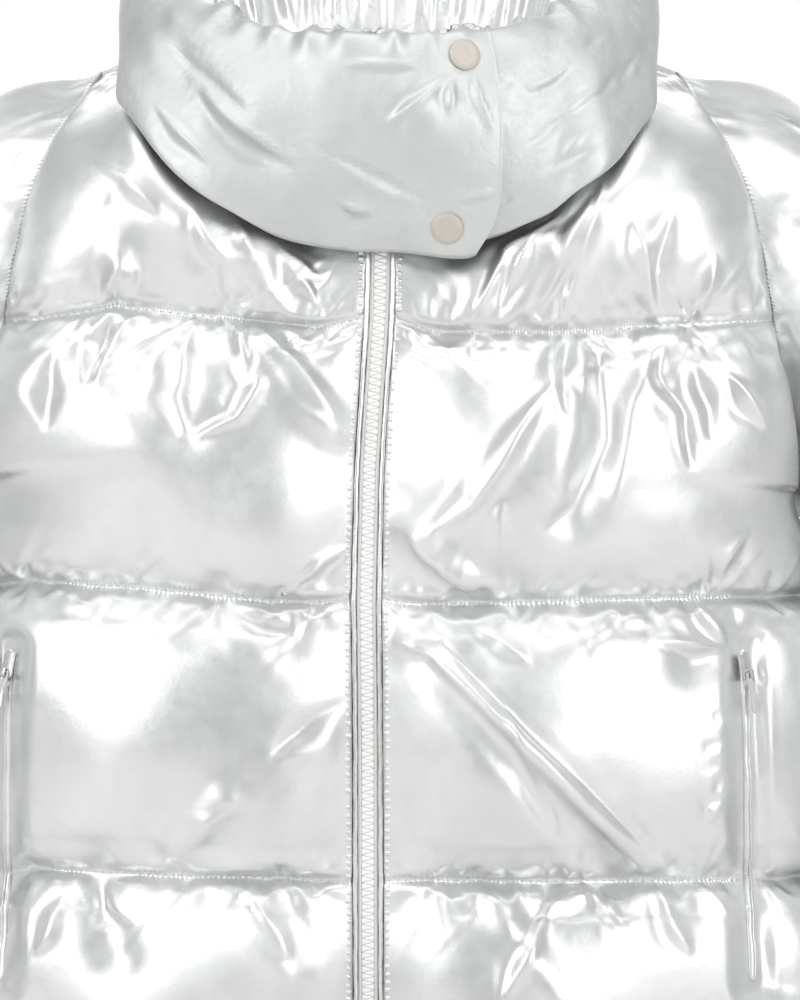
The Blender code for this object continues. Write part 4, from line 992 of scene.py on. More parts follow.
# The photo's largest creases on the fronts: a line of places across and up in millimetres from the middle
# and the shoulders, then the crease's half width and height in millimetres; troughs are negative
CREASES = (
    (((110, -75), (87, -146)), 4.2, 3.0),
    (((104, -83), (75, -139)), 3.2, 2.8),
    (((75, -102), (56, -139)), 2.8, 2.6),
    (((89, -90), (60, -111), (41, -147)), 2.6, 2.4),
    (((122, -96), (131, -113), (139, -148)), 4.6, 3.2),
    (((146, -90), (137, -120), (136, -144)), 5.0, -3.0),
    (((166, -110), (160, -142)), 3.4, 2.0),
    (((86, -177), (64, -204), (41, -238), (18, -254)), 4.6, 4.6),
    (((10, -252), (18, -263), (47, -286)), 3.2, 3.0),
    (((58, -236), (56, -280)), 6.0, 3.2),
    (((110, -158), (108, -204), (93, -238), (77, -250)), 8.5, -6.0),
    (((89, -152), (89, -194)), 3.2, -3.2),
    (((98, -150), (97, -186)), 3.0, 2.2),
    (((141, -158), (139, -172), (149, -192), (152, -221)), 4.4, -3.6),
    (((132, -166), (121, -204), (112, -240)), 6.5, 3.0),
    (((156, -168), (164, -206)), 6.5, -3.4),
    (((172, -172), (194, -199)), 3.6, 3.0),
    (((168, -278), (172, -263), (185, -252)), 3.0, 2.6),
    (((3, -306), (21, -313), (76, -366), (133, -426)), 4.0, 4.0),
    (((26, -306), (136, -418)), 3.8, -3.4),
    (((56, -336), (86, -401)), 3.4, 2.4),
    (((44, -300), (70, -318)), 3.4, 2.2),
    (((136, -306), (173, -313)), 3.2, 2.8),
    (((151, -286), (174, -311)), 3.0, 3.0),
    (((175, -311), (193, -331)), 3.2, -2.6),
    (((175, -311), (193, -306)), 3.0, -2.6),
    (((173, -346), (165, -352)), 2.0, 1.4),
    (((172, -358), (162, -368)), 2.2, 1.6),
    (((172, -372), (163, -384)), 2.2, -1.5),
    (((171, -388), (160, -399)), 2.4, 1.6),
    (((86, -436), (56, -486)), 3.8, 2.8),
    (((136, -431), (151, -466)), 3.8, 2.6),
    (((-140, -137), (-142, -126), (-137, -118), (-131, -121), (-133, -137)), 2.6, 2.8),
    (((-100, -88), (-92, -105), (-84, -115), (-82, -145)), 3.6, 3.0),
    (((-77, -96), (-69, -114)), 3.0, 2.2),
    (((-59, -111), (-44, -126), (-35, -135)), 3.4, 2.6),
    (((-57, -109), (-36, -122), (-29, -118)), 2.8, 2.2),
    (((-150, -62), (-133, -72), (-118, -92)), 4.4, 2.4),
    (((-80, -146), (-73, -161), (-67, -178), (-76, -195), (-98, -207)), 4.4, 3.4),
    (((-98, -148), (-109, -182), (-103, -205)), 6.5, -4.4),
    (((-69, -148), (-69, -178)), 3.6, -2.8),
    (((-67, -146), (-48, -165), (-27, -195)), 3.8, 3.2),
    (((-138, -142), (-150, -161), (-155, -178)), 3.6, -3.6),
    (((-131, -142), (-143, -163), (-147, -180)), 3.2, 2.4),
    (((-168, -160), (-176, -200)), 6.0, -3.6),
    (((-46, -276), (-36, -269), (-21, -261)), 3.0, 2.6),
    (((-82, -284), (-49, -299)), 3.6, 2.4),
    (((-102, -411), (-79, -391)), 4.0, 2.6),
    (((-59, -366), (-24, -336)), 5.0, -2.8),
    (((-144, -431), (-129, -451)), 3.6, 2.4),
    (((-69, -436), (-49, -466)), 3.8, 2.6),
    (((-164, -436), (-179, -466)), 3.8, 2.6),
)


# Creases of the same kind on the sides the photo doesn't show
BACK_CREASES = (
    (((-150, -60), (-118, -92), (-92, -138)), 4.1, 3.2),
    (((-60, -70), (-66, -100), (-58, -140)), 3.5, -2.5),
    (((32, -66), (52, -96), (61, -139)), 3.8, 2.9),
    (((118, -70), (104, -108), (122, -140)), 4.1, -2.7),
    (((-128, -150), (-92, -186), (-60, -240)), 4.9, 3.9),
    (((-40, -148), (-28, -190), (-44, -226)), 6.7, -3.7),
    (((46, -150), (70, -198), (66, -244)), 4.3, 3.1),
    (((150, -152), (128, -190), (98, -216)), 3.8, 2.5),
    (((-10, -282), (22, -246)), 3.2, 2.5),
    (((-160, -300), (-128, -342), (-86, -404)), 4.3, 3.7),
    (((-72, -292), (-48, -330)), 3.5, -2.5),
    (((12, -296), (-6, -340), (-22, -380)), 4.1, 2.9),
    (((94, -292), (128, -352), (150, -400)), 4.6, -3.4),
    (((60, -424), (92, -386)), 3.5, 2.5),
    (((-120, -436), (-96, -482), (-90, -520)), 4.1, 2.9),
    (((-20, -434), (-4, -486)), 3.5, -2.4),
    (((74, -436), (48, -500)), 4.3, 3.1),
    (((140, -560), (120, -500)), 3.5, 2.4),
    (((-60, -580), (-36, -630)), 3.8, 2.5),
    (((70, -580), (96, -640)), 3.8, -2.5),
)

# On a sleeve: round the arm from its front edge, then down its length
SLEEVE_CREASES = (
    (((40, -24), (62, -60), (70, -104)), 4.1, 3.1),
    (((118, -20), (104, -58), (120, -96)), 3.8, -2.7),
    (((210, -30), (236, -74), (228, -112)), 4.3, 3.4),
    (((330, -26), (312, -66)), 3.5, 2.5),
    (((420, -34), (440, -84)), 4.1, -2.9),
    (((66, -150), (96, -196), (104, -236)), 4.3, 3.4),
    (((160, -146), (148, -190)), 3.5, 2.5),
    (((262, -152), (290, -204), (280, -240)), 4.3, -3.2),
    (((370, -150), (352, -214)), 4.1, 2.9),
    (((40, -280), (60, -322), (52, -360)), 3.8, 2.9),
    (((140, -276), (168, -330)), 4.1, -2.7),
    (((246, -282), (226, -344)), 3.8, 2.7),
    (((330, -280), (346, -330)), 3.5, 2.4),
    (((70, -404), (92, -452)), 3.5, 2.5),
    (((180, -400), (166, -448)), 3.5, -2.4),
    (((280, -404), (300, -458)), 3.5, 2.5),
)
PLACED_CREASES = {
    "front_left": [entry for entry in CREASES if np.mean([x for x, _ in entry[0]]) > -5.0],
    "front_right": [entry for entry in CREASES if np.mean([x for x, _ in entry[0]]) <= -5.0],
    "back": BACK_CREASES,
    "sleeve_left": SLEEVE_CREASES,
    "sleeve_right": [
        ([(470 - x, z - 9) for x, z in line], width, -tall) for line, width, tall in SLEEVE_CREASES
    ],
}


def ridge(apart, along, width, height):
    """A crease's section: its crest, with a shallow trough on one side, fading to its two ends."""
    ends = np.sin(math.pi * np.clip(along, 0.0, 1.0)) ** 0.7
    crest = np.exp(-(np.abs(apart / width) ** 1.5))
    trough = np.exp(-(((apart - 2.0 * width) / (1.3 * width)) ** 2))
    return height * ends * (crest - 0.45 * trough)


def crease(flat, line, width, height, seed):
    """Height of one crease over places on a plane; its width and height wander along it."""
    line = np.array(line, float)
    lengths = np.linalg.norm(np.diff(line, axis=0), axis=1)
    total = lengths.sum()
    near = np.full(flat.shape[:-1], 1e9)
    signed = np.zeros(flat.shape[:-1])
    place = np.zeros(flat.shape[:-1])
    passed = 0.0
    for start, end, length in zip(line[:-1], line[1:], lengths):
        along = (end - start) / length
        off = flat - start
        t = np.clip(off @ along, 0.0, length)
        gap = off - t[..., None] * along
        apart = np.linalg.norm(gap, axis=-1)
        side = np.sign(gap[..., 0] * along[1] - gap[..., 1] * along[0])
        closer = apart < near
        near = np.where(closer, apart, near)
        signed = np.where(closer, apart * np.where(side == 0.0, 1.0, side), signed)
        place = np.where(closer, (passed + t) / total, place)
        passed += length
    rng = np.random.default_rng(seed)
    phase = rng.uniform(0.0, math.tau, 3)
    swell = 1.0 + 0.15 * np.sin(place * 7.0 + phase[0])
    wander = 0.30 * width * np.sin(place * 4.0 + phase[1]) + 0.08 * width * np.sin(place * 11.0 + phase[2])
    taper = 0.35 + 0.65 * np.sin(math.pi * place)
    return ridge(signed + wander, place, width * taper * swell, height * swell)


# Gathers at a seam, in metres: the least and the most of slant, reach, width and height, drawn by chance
LONG_GATHER = ((-1.1, 1.1), (0.020, 0.062), (0.0012, 0.0024), (0.0007, 0.0016))
SHORT_GATHER = ((-0.5, 0.5), (0.006, 0.017), (0.0011, 0.0020), (0.0003, 0.0008))
FAN_PITCH = (0.035, 0.085)
SHORT_PITCH = (0.0035, 0.0110)
RIDGE_SHARE = 0.6
TROUGH_DEPTH = -0.8
GATHER_BEGINS = 0.004
PUCKER_ROWS = 50


def gathers_of(rng, whole):
    """Gathers along one side of a seam: fans of long ones at pinched places, short ones between.

    Each row: place along the seam, slant, reach, width, height, all in metres but the slant.
    """
    rows = []
    place = rng.uniform(0.010, 0.040)
    while place < whole:
        for _ in range(rng.integers(3, 7)):
            reach = rng.uniform(*LONG_GATHER[1])
            sign = 1.0 if rng.random() < RIDGE_SHARE else TROUGH_DEPTH
            start = place + rng.uniform(-0.003, 0.003)
            slant, width, tall = (rng.uniform(*LONG_GATHER[k]) for k in (0, 2, 3))
            rows.append((start, slant, reach, width, sign * tall))
        place += rng.uniform(*FAN_PITCH)
    place = rng.uniform(0.0, 0.005)
    while place < whole:
        sign = 1.0 if rng.random() < RIDGE_SHARE else TROUGH_DEPTH
        slant, reach, width, tall = (rng.uniform(*limits) for limits in SHORT_GATHER)
        rows.append((place, slant, reach, width, sign * tall))
        place += rng.uniform(*SHORT_PITCH)
    return rows


def depths_down(points):
    """How far down its own column each place of a sheet lies."""
    down = np.linalg.norm(np.diff(points, axis=0), axis=-1)
    return np.concatenate([np.zeros((1, points.shape[1])), np.cumsum(down, axis=0)])


def seam_puckers(points, seams, seed, wrap):
    """The height of the gathers that leave each seam up and down the cloth."""
    rows, columns = points.shape[:2]
    rng = np.random.default_rng(seed)
    depth = depths_down(points)
    height = np.zeros((rows, columns))
    for seam in seams:
        moved = np.roll(points[seam], -1, axis=0) - points[seam] if wrap else np.diff(points[seam], axis=0)
        steps = np.linalg.norm(moved, axis=-1)
        along = np.concatenate([[0.0], np.cumsum(steps)])[:columns]
        whole = steps.sum()
        for side in (-1, 1):
            if seam + side < 0 or seam + side >= rows:
                continue
            above, below = slice(max(0, seam - PUCKER_ROWS), seam + 1), slice(seam, seam + PUCKER_ROWS + 1)
            stretch = above if side < 0 else below
            away = np.abs(depth[stretch] - depth[seam])
            for place, slant, reach, width, tall in gathers_of(rng, whole):
                apart = along[None] - place - slant * away
                if wrap:
                    apart = (apart + whole / 2) % whole - whole / 2
                grow = np.minimum(away / GATHER_BEGINS, 1.0)
                fade = np.clip(1.0 - away / reach, 0.0, 1.0) ** 1.3
                spread = width * (0.7 + 1.3 * away / reach)
                crest = np.exp(-((apart / spread) ** 2))
                trough = np.exp(-(((apart - 1.9 * spread) / (1.2 * spread)) ** 2))
                height[stretch] += tall * grow * fade * (crest - 0.4 * trough)
    return height


def drifted(points, name, fade):
    """Base points with their seams drawn up or down by the drift of the two seams next to each."""
    if name not in SEAM_DRIFTS:
        return points
    table = SEAM_DRIFTS[name]
    across = points[..., 0] if name == "back" else np.abs(points[..., 0])
    levels = [0.0] + [level for level, _ in table] + [SEAM_HEIGHTS[-1]]
    drifts = [np.zeros(across.shape)]
    for _, line in table:
        drifts.append(np.interp(across, [x for x, _ in line], [drift for _, drift in line]))
    drifts.append(np.zeros(across.shape))
    moved = points.copy()
    heights = points[..., 2]
    total = np.zeros(across.shape)
    for number in range(len(levels) - 1):
        above, below = levels[number], levels[number + 1]
        inside = (heights <= above) & (heights > below)
        t = eased(np.clip((above - heights) / (above - below), 0.0, 1.0))
        total = np.where(inside, drifts[number] * (1 - t) + drifts[number + 1] * t, total)
    moved[..., 2] += total * fade
    return moved


# ---------------------------------------------------------------- padded walls

SIM_STEP = 4.5 * MM
SIM_FRAMES = 20
SIM_GROWTH = 0.018
WALL_TIMES = {"front_left": 3, "front_right": 3, "back": 2, "sleeve_left": 2, "sleeve_right": 2}
MOST_MOVED = 9 * MM
CALM_TIMES = 7
PUCKER_SHARE = 0.75
BANK_AWAY = 9 * MM
BANK_RISE = 5 * MM
BANK_WIDTH = 11 * MM
INNER_STEP = 9
EDGE_REACH = 30 * MM
POCKET_REFILL = 0.36
POCKET_SEATED = 4 * MM
POCKET_EASED = 10 * MM
WALL_SIDES = {"front_left": 1, "front_right": -1, "back": 0}
WALL_SEEDS = {"front_left": 11, "front_right": 12, "back": 13, "sleeve_left": 14, "sleeve_right": 15}
SLEEVE_WAVES = {"sleeve_left": 2.1, "sleeve_right": 4.4}


def edge_fade(points, wrap):
    """0 on every open edge of a sheet, rising to 1 within a few centimetres."""
    edges = [points[:1], points[-1:]] + ([] if wrap else [points[:, :1], points[:, -1:]])
    fade = 1.0
    for edge in edges:
        fade = fade * rise(np.linalg.norm(points - edge, axis=-1), EDGE_REACH)
    return fade


def capped(start, moved, normals, height):
    """A simulated sheet, held within a few millimetres of its start and above the wall's middle."""
    off = moved - start
    out = (off * normals).sum(axis=-1)
    slide = off - out[..., None] * normals
    most = MOST_MOVED * np.clip(height / (0.5 * BODY_PUFF), 0.12, 1.0)
    out = np.tanh(out / most) * most
    out = np.maximum(out, -0.75 * height)
    size = np.linalg.norm(slide, axis=-1)
    limit = 0.5 * most
    slide = slide * (np.tanh(size / limit) * limit / np.maximum(size, 1e-9))[..., None]
    return start + out[..., None] * normals + slide


def calmed(start, moved, shares, wrap):
    """The simulated sheet with its small ripples eased out, most of all in the middle of each channel."""
    off = moved - start
    ease = 0.6 * rise(np.minimum(shares, 1.0 - shares) - 0.06, 0.30)[:, None, None]
    for _ in range(CALM_TIMES):
        down = np.concatenate([off[:1], off, off[-1:]])
        if wrap:
            beside = np.roll(off, 1, axis=1) + np.roll(off, -1, axis=1)
        else:
            wide = np.concatenate([off[:, :1], off, off[:, -1:]], axis=1)
            beside = wide[:, 2:] + wide[:, :-2]
        off = off + ease * ((down[2:] + down[:-2] + beside) / 4 - off)
    return start + off


def make_mesh(name, points, faces, smooth_faces=True):
    """An object of some points and faces, linked to the scene."""
    mesh = bpy.data.meshes.new(name)
    mesh.from_pydata(np.asarray(points).tolist(), [], faces)
    mesh.validate()
    mesh.polygons.foreach_set("use_smooth", [smooth_faces] * len(mesh.polygons))
    made = bpy.data.objects.new(name, mesh)
    bpy.context.scene.collection.objects.link(made)
    return made


def samples(count, step, wrap):
    """Every few rows or columns of a fine grid, with its last one."""
    picked = list(range(0, count, step))
    if not wrap and picked[-1] != count - 1:
        if count - 1 - picked[-1] < step // 2:
            picked.pop()
        picked.append(count - 1)
    return picked


def closed_wall(name, outer, inner, wrap):
    """A closed wall: the fine outer sheet, a plain coarse inner sheet, and rims between them."""
    rows, columns = outer.shape[:2]
    faces = quads_of(rows, columns, wrap)
    down = samples(rows, INNER_STEP, False)
    across = samples(columns, INNER_STEP, wrap)
    first = rows * columns
    coarse = inner[np.ix_(down, across)]
    wide = len(across)

    def at(i, j):
        return first + i * wide + j % wide

    spans = wide if wrap else wide - 1
    for i in range(len(down) - 1):
        for j in range(spans):
            faces.append((at(i, j), at(i, j + 1), at(i + 1, j + 1), at(i + 1, j)))
    for j in range(spans):
        start = across[j]
        end = across[j + 1] if j + 1 < wide else columns
        line = [k % columns for k in range(start, end + 1)]
        faces.append(tuple(line) + (at(0, j + 1), at(0, j)))
        low = [(rows - 1) * columns + k for k in line][::-1]
        faces.append(tuple(low) + (at(len(down) - 1, j), at(len(down) - 1, j + 1)))
    if not wrap:
        for i in range(len(down) - 1):
            line = [k * columns for k in range(down[i], down[i + 1] + 1)][::-1]
            faces.append(tuple(line) + (at(i, 0), at(i + 1, 0)))
            line = [k * columns + columns - 1 for k in range(down[i], down[i + 1] + 1)]
            faces.append(tuple(line) + (at(i + 1, wide - 1), at(i, wide - 1)))
    points = np.concatenate([outer.reshape(-1, 3), coarse.reshape(-1, 3)])
    return make_mesh(name, points, faces)


def flat_places(points):
    """Places as the photo shows them from the front, in millimetres."""
    return points[..., [0, 2]] / MM


def seated_at_pocket(points, name):
    """The skin lies where the frame's does under the pocket's zip, which is sewn to it."""
    skin = surface_of([NODES[name]])
    apart = segment_distance(points[..., [0, 2]], *pocket_line(WALL_SIDES[name]))
    t = np.clip((apart - POCKET_SEATED) / POCKET_EASED, 0.0, 1.0)
    share = 1.0 - eased(t)
    moved = points.copy()
    for index in zip(*np.nonzero(share > 0.0)):
        x, _, z = points[index]
        hit = seen_from_front(skin, x, z)[0]
        if hit is not None:
            moved[index][1] += (hit.y - points[index][1]) * share[index]
    return moved


def seam_places(points, sewn):
    """Each place's distance from the nearest seam, and how far along the seam it lies."""
    depth = depths_down(points)
    away = np.abs(depth[:, None] - depth[sewn][None]).min(axis=1)
    along = lengths_along(points[len(points) // 2])
    return away, np.broadcast_to(along, away.shape)


def collar_bank(points):
    """The yoke's padding swells up against the collar's lower edge."""
    height = np.zeros(points.shape[:2])
    for side in (-1, 1):
        angles = np.radians(np.linspace(30.0, 84.0, 160))
        across = side * (COLLAR_HALF_WIDTH + BANK_AWAY) * np.sin(angles)
        level = [collar_edge_height(a) - BANK_AWAY * math.cos(a) for a in angles]
        line = np.stack([across, level], axis=1)
        gaps = np.stack([np.hypot(points[..., 0] - x, points[..., 2] - z) for x, z in line])
        place = gaps.argmin(axis=0)
        uneven = 1.0 + 0.15 * np.sin(place * 0.07 + side)
        height += BANK_RISE * uneven * np.exp(-((gaps.min(axis=0) / BANK_WIDTH) ** 2))
    return height


def placed_creases(points, name, along):
    """Heights of the listed creases, on the body across and up, on a sleeve round and down it."""
    flat = flat_places(points)
    if name.startswith("sleeve"):
        down = np.linalg.norm(np.diff(points, axis=0), axis=-1).mean(axis=1)
        depth = np.concatenate([[0.0], np.cumsum(down)])
        flat = np.stack([along / MM, np.broadcast_to(-depth[:, None] / MM, along.shape)], axis=-1)
    height = np.zeros(flat.shape[:-1])
    for number, (line, width, tall) in enumerate(PLACED_CREASES[name]):
        height += crease(flat, line, width, tall, 40 + number) * MM
    return height


def simulated(cloth, pressure):
    """The wall's outer sheet, pinned along its seams and edges, once the padding has pressed it out."""
    start = cloth.start()
    pins = np.zeros(start.shape[:2])
    pins[cloth.seams] = 1.0
    pins[0], pins[-1] = 1.0, 1.0
    if not cloth.wrap:
        pins[:, 0], pins[:, -1] = 1.0, 1.0
    settled = inflate(start, cloth.normals, pins, cloth.wrap, pressure, SIM_GROWTH, SIM_FRAMES)
    settled = capped(start, settled, cloth.normals, cloth.height)
    return calmed(start, settled, cloth.shares, cloth.wrap)


def padding_height(cloth):
    """How far the padding lifts each place of a wall; the fronts get back what their pocket line takes."""
    if cloth.name in SLEEVE_WAVES:
        return sleeve_padding(cloth, SLEEVE_WAVES[cloth.name])
    height = body_height(cloth, WALL_SIDES[cloth.name])
    if WALL_SIDES[cloth.name]:
        apart = segment_distance(cloth.base[..., [0, 2]], *pocket_line(WALL_SIDES[cloth.name]))
        height = height / (1.0 - POCKET_REFILL * np.exp(-((apart / POCKET_REACH) ** 2)))
    return height


def wall_piece(panel, seed, settings):
    """One padded wall: cloth inflated between its seams, then creased and puckered."""
    cloth = Cloth(panel, SIM_STEP)
    fade = edge_fade(cloth.base, cloth.wrap)
    cloth.height = padding_height(cloth)
    cloth.base = drifted(cloth.base, cloth.name, fade)
    settled = simulated(cloth, settings.pressure)
    times = WALL_TIMES[cloth.name]
    outer = cloth.refine(settled, times)
    base = cloth.refine(cloth.base, times)
    normals = unit(cloth.refine(cloth.normals, times))
    height = np.maximum(cloth.refine(cloth.height, times), 0.0)
    fine_fade = np.clip(cloth.refine(fade, times), 0.0, 1.0)
    across = surface_normals(outer, cloth.wrap)
    across *= np.sign((across * normals).sum(axis=-1, keepdims=True))
    room = np.clip(height / (5 * MM), 0.0, 1.0)
    sewn = cloth.seams * times
    detail = PUCKER_SHARE * seam_puckers(outer, sewn, seed, cloth.wrap) * fine_fade
    along = seam_places(outer, sewn)[1]
    detail = detail + settings.crease_height * placed_creases(outer, panel.name, along) * room
    detail = detail * np.clip(0.35 + room, 0.0, 1.0)
    if panel.name.startswith("front"):
        detail = detail + collar_bank(outer)
    outer = outer + across * detail[..., None]
    if panel.name.startswith("front"):
        outer = seated_at_pocket(outer, panel.name)
    inner = base - normals * HALF_WALL
    inside = [row for row in sewn if 0 < row < len(outer) - 1]
    SEAM_LINES[panel.name] = [(outer[row], across[row], cloth.wrap) for row in inside]
    made = closed_wall("cloth_" + panel.name, outer, inner, cloth.wrap)
    away, along = seam_places(outer, sewn)
    for name, values in (("seam_away", away), ("seam_along", along)):
        attribute = made.data.attributes.new(name, "FLOAT", "POINT")
        whole = np.full(len(made.data.vertices), 0.05, np.float32)
        whole[: values.size] = values.reshape(-1)
        attribute.data.foreach_set("value", whole)
    return made


def all_panels():
    """The jacket's five walls as the frame has them, with shared normals along shared seams."""
    sleeve_points, sleeve_shares = sleeve_grid()
    panels = (
        Panel("front_left", *front_grid(1)),
        Panel("front_right", *front_grid(-1)),
        Panel("back", *back_grid()),
        Panel("sleeve_left", sleeve_points, sleeve_shares, closed=True),
        Panel("sleeve_right", sleeve_points * MIRROR, sleeve_shares, closed=True),
    )
    front_left, front_right, back = panels[:3]
    for panel in panels[:2]:
        edge = panel.normals[YOKE_NECK_ROW:, 0]
        edge[:, 0] = 0.0
        panel.normals[YOKE_NECK_ROW:, 0] = unit(edge)
    share_normals(panels)
    last = back.grid.shape[1] - 1
    level_shoulder_normals((
        (front_left, 0, FRONT_COLUMNS),
        (front_right, 0, FRONT_COLUMNS),
        (back, SHOULDER_COLUMNS, 0),
        (back, last - SHOULDER_COLUMNS, last),
    ))
    return panels


# ---------------------------------------------------------------- collar

COLLAR_ALONG = 5
# How many steps follow each corner of a section: lips 0 and 1, underside 2, foot 3, toe 4, outer side 5 to 8,
# the rim's outer edge, top and inner edge 9 to 11, inner side 12 to 14
COLLAR_RING = (1, 2, 2, 3, 8, 12, 12, 12, 8, 5, 6, 14, 12, 8, 4)
FOOT, TOE, RIM_TOP, RIM_INNER = 3, 4, 10, 11
OUTER_END = 9.6
INNER_BEGINS = 10.6

# The photo's creases on the collar, as for the fronts
COLLAR_CREASES = (
    (((-95, -27), (-74, -44), (-48, -67)), 4.8, 5.4),
    (((-113, -4), (-90, -24), (-60, -52)), 3.0, -2.4),
    (((-119, -34), (-89, -69)), 2.8, 2.4),
    (((-22, -16), (14, -17)), 1.8, 2.4),
    (((31, -22), (16, -34), (-2, -47)), 2.2, 2.8),
    (((33, -24), (30, -44)), 2.0, 2.2),
    (((41, -22), (54, -51)), 2.2, 2.6),
    (((-39, -56), (-8, -72), (23, -88)), 2.2, -2.6),
    (((-26, -85), (-5, -92)), 2.4, 2.6),
    (((36, -86), (53, -80)), 1.8, 2.2),
    (((53, -25), (62, -22)), 1.5, 1.4),
    (((68, -28), (80, -23), (93, -15)), 2.0, 2.0),
    (((56, -45), (73, -40)), 1.5, -0.9),
    (((65, -61), (89, -43)), 1.6, -1.0),
    (((74, -45), (92, -37), (112, -24)), 1.8, 1.2),
    (((99, -5), (112, 3)), 1.8, -1.0),
    (((108, -31), (119, -14)), 1.8, -1.1),
    (((117, -24), (128, -5)), 1.8, -1.1),
    (((54, -86), (69, -79)), 1.6, -0.9),
    (((75, -71), (106, -56)), 2.0, -1.1),
    (((113, -67), (126, -44)), 2.0, -1.1),
    (((86, -67), (100, -49)), 2.0, 0.9),
)

# Pieces that the collar rests on, and the flap: how many sections it has, and how it lies and leans
ZIP_SKINS = ("zip_slider", "zip_tape_left", "zip_tape_right", "zip_piping_left", "zip_piping_right")
FLAP_SECTIONS = 15
FLAP_OVER = 1.3 * MM
TOE_OUT = 12 * MM
TOE_DOWN = 5 * MM
CORNER_LEAN = 10.5 * MM
CORNER_TOP = -0.086
CORNER_DEPTH = 0.029


def resting_share(sections):
    """1 at the collar's sides and back, which rest on the padded cloth, and 0 at the flap."""
    foot = sections[:, FOOT]
    front = np.clip((-foot[:, 1] - 0.02) / 0.03, 0.0, 1.0)
    beside = rise(np.abs(foot[:, 0]) - 0.062, 0.022)
    return np.where(front > 0.0, beside * front + (1.0 - front), 1.0)[:, None, None]


def flap_shaped(sections):
    """The flap lies a little over the end beneath it; both lower corners lean towards the zip."""
    shaped = sections.copy()
    foot = sections[:, FOOT]
    front = (foot[:, 1] < -0.05)[:, None]
    lean = CORNER_LEAN * np.clip((CORNER_TOP - sections[..., 2]) / CORNER_DEPTH, 0.0, 1.0) ** 1.6
    near = 1.0 - rise(np.abs(sections[..., 0] - FLAP_END), 0.026)
    shaped[..., 0] -= lean * near * front
    count = len(sections)
    over = np.clip((np.arange(count) - (count - FLAP_SECTIONS)) / 6.0, 0.0, 1.0)[:, None]
    outward = foot[:, :2] - np.array((0.0, COLLAR_MIDDLE_Y))
    outward = np.pad(unit(outward), ((0, 0), (0, 1)))
    sideways = np.abs(outward[:, :1])
    beside = rise(sideways - 0.48, 0.28) * (1.0 - rise(sideways - 0.88, 0.11)) * (outward[:, 1:2] < 0.25)
    shaped[:, TOE] += outward * TOE_OUT * beside - np.array((0.0, 0.0, TOE_DOWN)) * beside
    shaped[:, TOE + 1] += outward * TOE_OUT * 0.5 * beside
    outer = np.zeros(sections.shape[1])
    outer[FOOT : RIM_INNER + 1] = 1.0
    shaped[..., 1] -= FLAP_OVER * over * outer[None]
    return shaped


def inner_gathers(points, places):
    """Upright gathers that the rim's drawcord channel puts in the inner side, strongest near the rim."""
    rng = np.random.default_rng(61)
    inner = np.clip((places - OUTER_END) / 0.8, 0.0, 1.0) * np.clip(len(COLLAR_RING) - places, 0.0, 1.0)
    rim = points[:, int(np.argmin(np.abs(places - (RIM_TOP + 0.5))))]
    along = lengths_along(rim)
    height = np.zeros(points.shape[:2])
    place = 0.0
    depth = places - RIM_TOP
    while place < along[-1]:
        width = rng.uniform(1.8, 3.6) * MM
        tall = rng.uniform(2.0, 4.4) * MM * (1.0 if rng.random() < 0.6 else -0.8)
        slant = rng.uniform(-3.0, 3.0) * MM
        apart = along[:, None] - place - slant * depth[None]
        fade = np.clip(1.0 - depth[None] / rng.uniform(5.0, 9.0), 0.0, 1.0)
        height += tall * np.exp(-((apart / width) ** 2)) * fade
        place += rng.uniform(4.5, 11.0) * MM
    return height * inner[None]


def ring_places():
    """Places round a section between its corners, closer together where it is rounder."""
    places = []
    for number, count in enumerate(COLLAR_RING):
        places += [number + k / count for k in range(count)]
    return np.array(places)


def ring_read(sections, places):
    """Points round each section: straight between its corners, smooth up the outer side and over the rim."""
    smoothly = curve_through(sections, places, 1, True)
    size = sections.shape[1]
    first = np.floor(places).astype(int)
    t = (places - first)[None, :, None]
    straight = sections[:, first] * (1 - t) + sections[:, (first + 1) % size] * t
    soft = ((first >= TOE) & (first < size - 1))[None, :, None]
    return np.where(soft, smoothly, straight)


def collar_piece(panels, outside, inside):
    """The funnel collar: sections resting on the padded cloth, with their creases and the rim's gathers."""
    front_left, front_right, back = panels[:3]
    nodes = neck_nodes(front_left, back, front_right)
    skins = [NODES[name] for name in ("front_left", "front_right", "back") + ZIP_SKINS]
    sections = np.array(collar_sections(*nodes, surface_of(skins)))
    padded = [bpy.data.objects["cloth_" + name] for name in ("front_left", "front_right", "back")]
    resting = np.array(collar_sections(*nodes, surface_of(padded + skins[3:])))
    share = resting_share(sections)
    sections = flap_shaped(sections * (1.0 - share) + resting * share)
    along = np.arange((len(sections) - 1) * COLLAR_ALONG + 1) / COLLAR_ALONG
    places = ring_places()
    points = ring_read(curve_through(sections, along, 0), places)
    rows, size = points.shape[:2]
    normals = surface_normals(points, True)
    middle = points.mean(axis=1, keepdims=True)
    normals *= np.sign(((points - middle) * normals).sum(axis=-1, keepdims=True).mean())
    shown = rise(np.maximum(places - TOE, 0.0), 1.2) * rise(np.maximum(OUTER_END - places, 0.0), 0.8)
    flat = flat_places(points)
    front = np.clip((-points[..., 1] - 0.02) / 0.04, 0.0, 1.0)
    height = np.zeros(points.shape[:2])
    for number, (line, width, tall) in enumerate(COLLAR_CREASES):
        height += crease(flat, line, width, tall, 300 + number) * MM
    height = height * shown[None] * front + inner_gathers(points, places)
    points = points + normals * height[..., None]
    made = make_mesh("cloth_collar", points.reshape(-1, 3), tube_faces(rows, size))
    inner = np.tile(places > INNER_BEGINS, rows - 1).astype(np.int32)
    slots = np.zeros(len(made.data.polygons), np.int32)
    slots[: inner.size] = inner
    made.data.materials.append(outside)
    made.data.materials.append(inside)
    made.data.polygons.foreach_set("material_index", slots)
    return made


# ---------------------------------------------------------------- zips, snaps and pockets

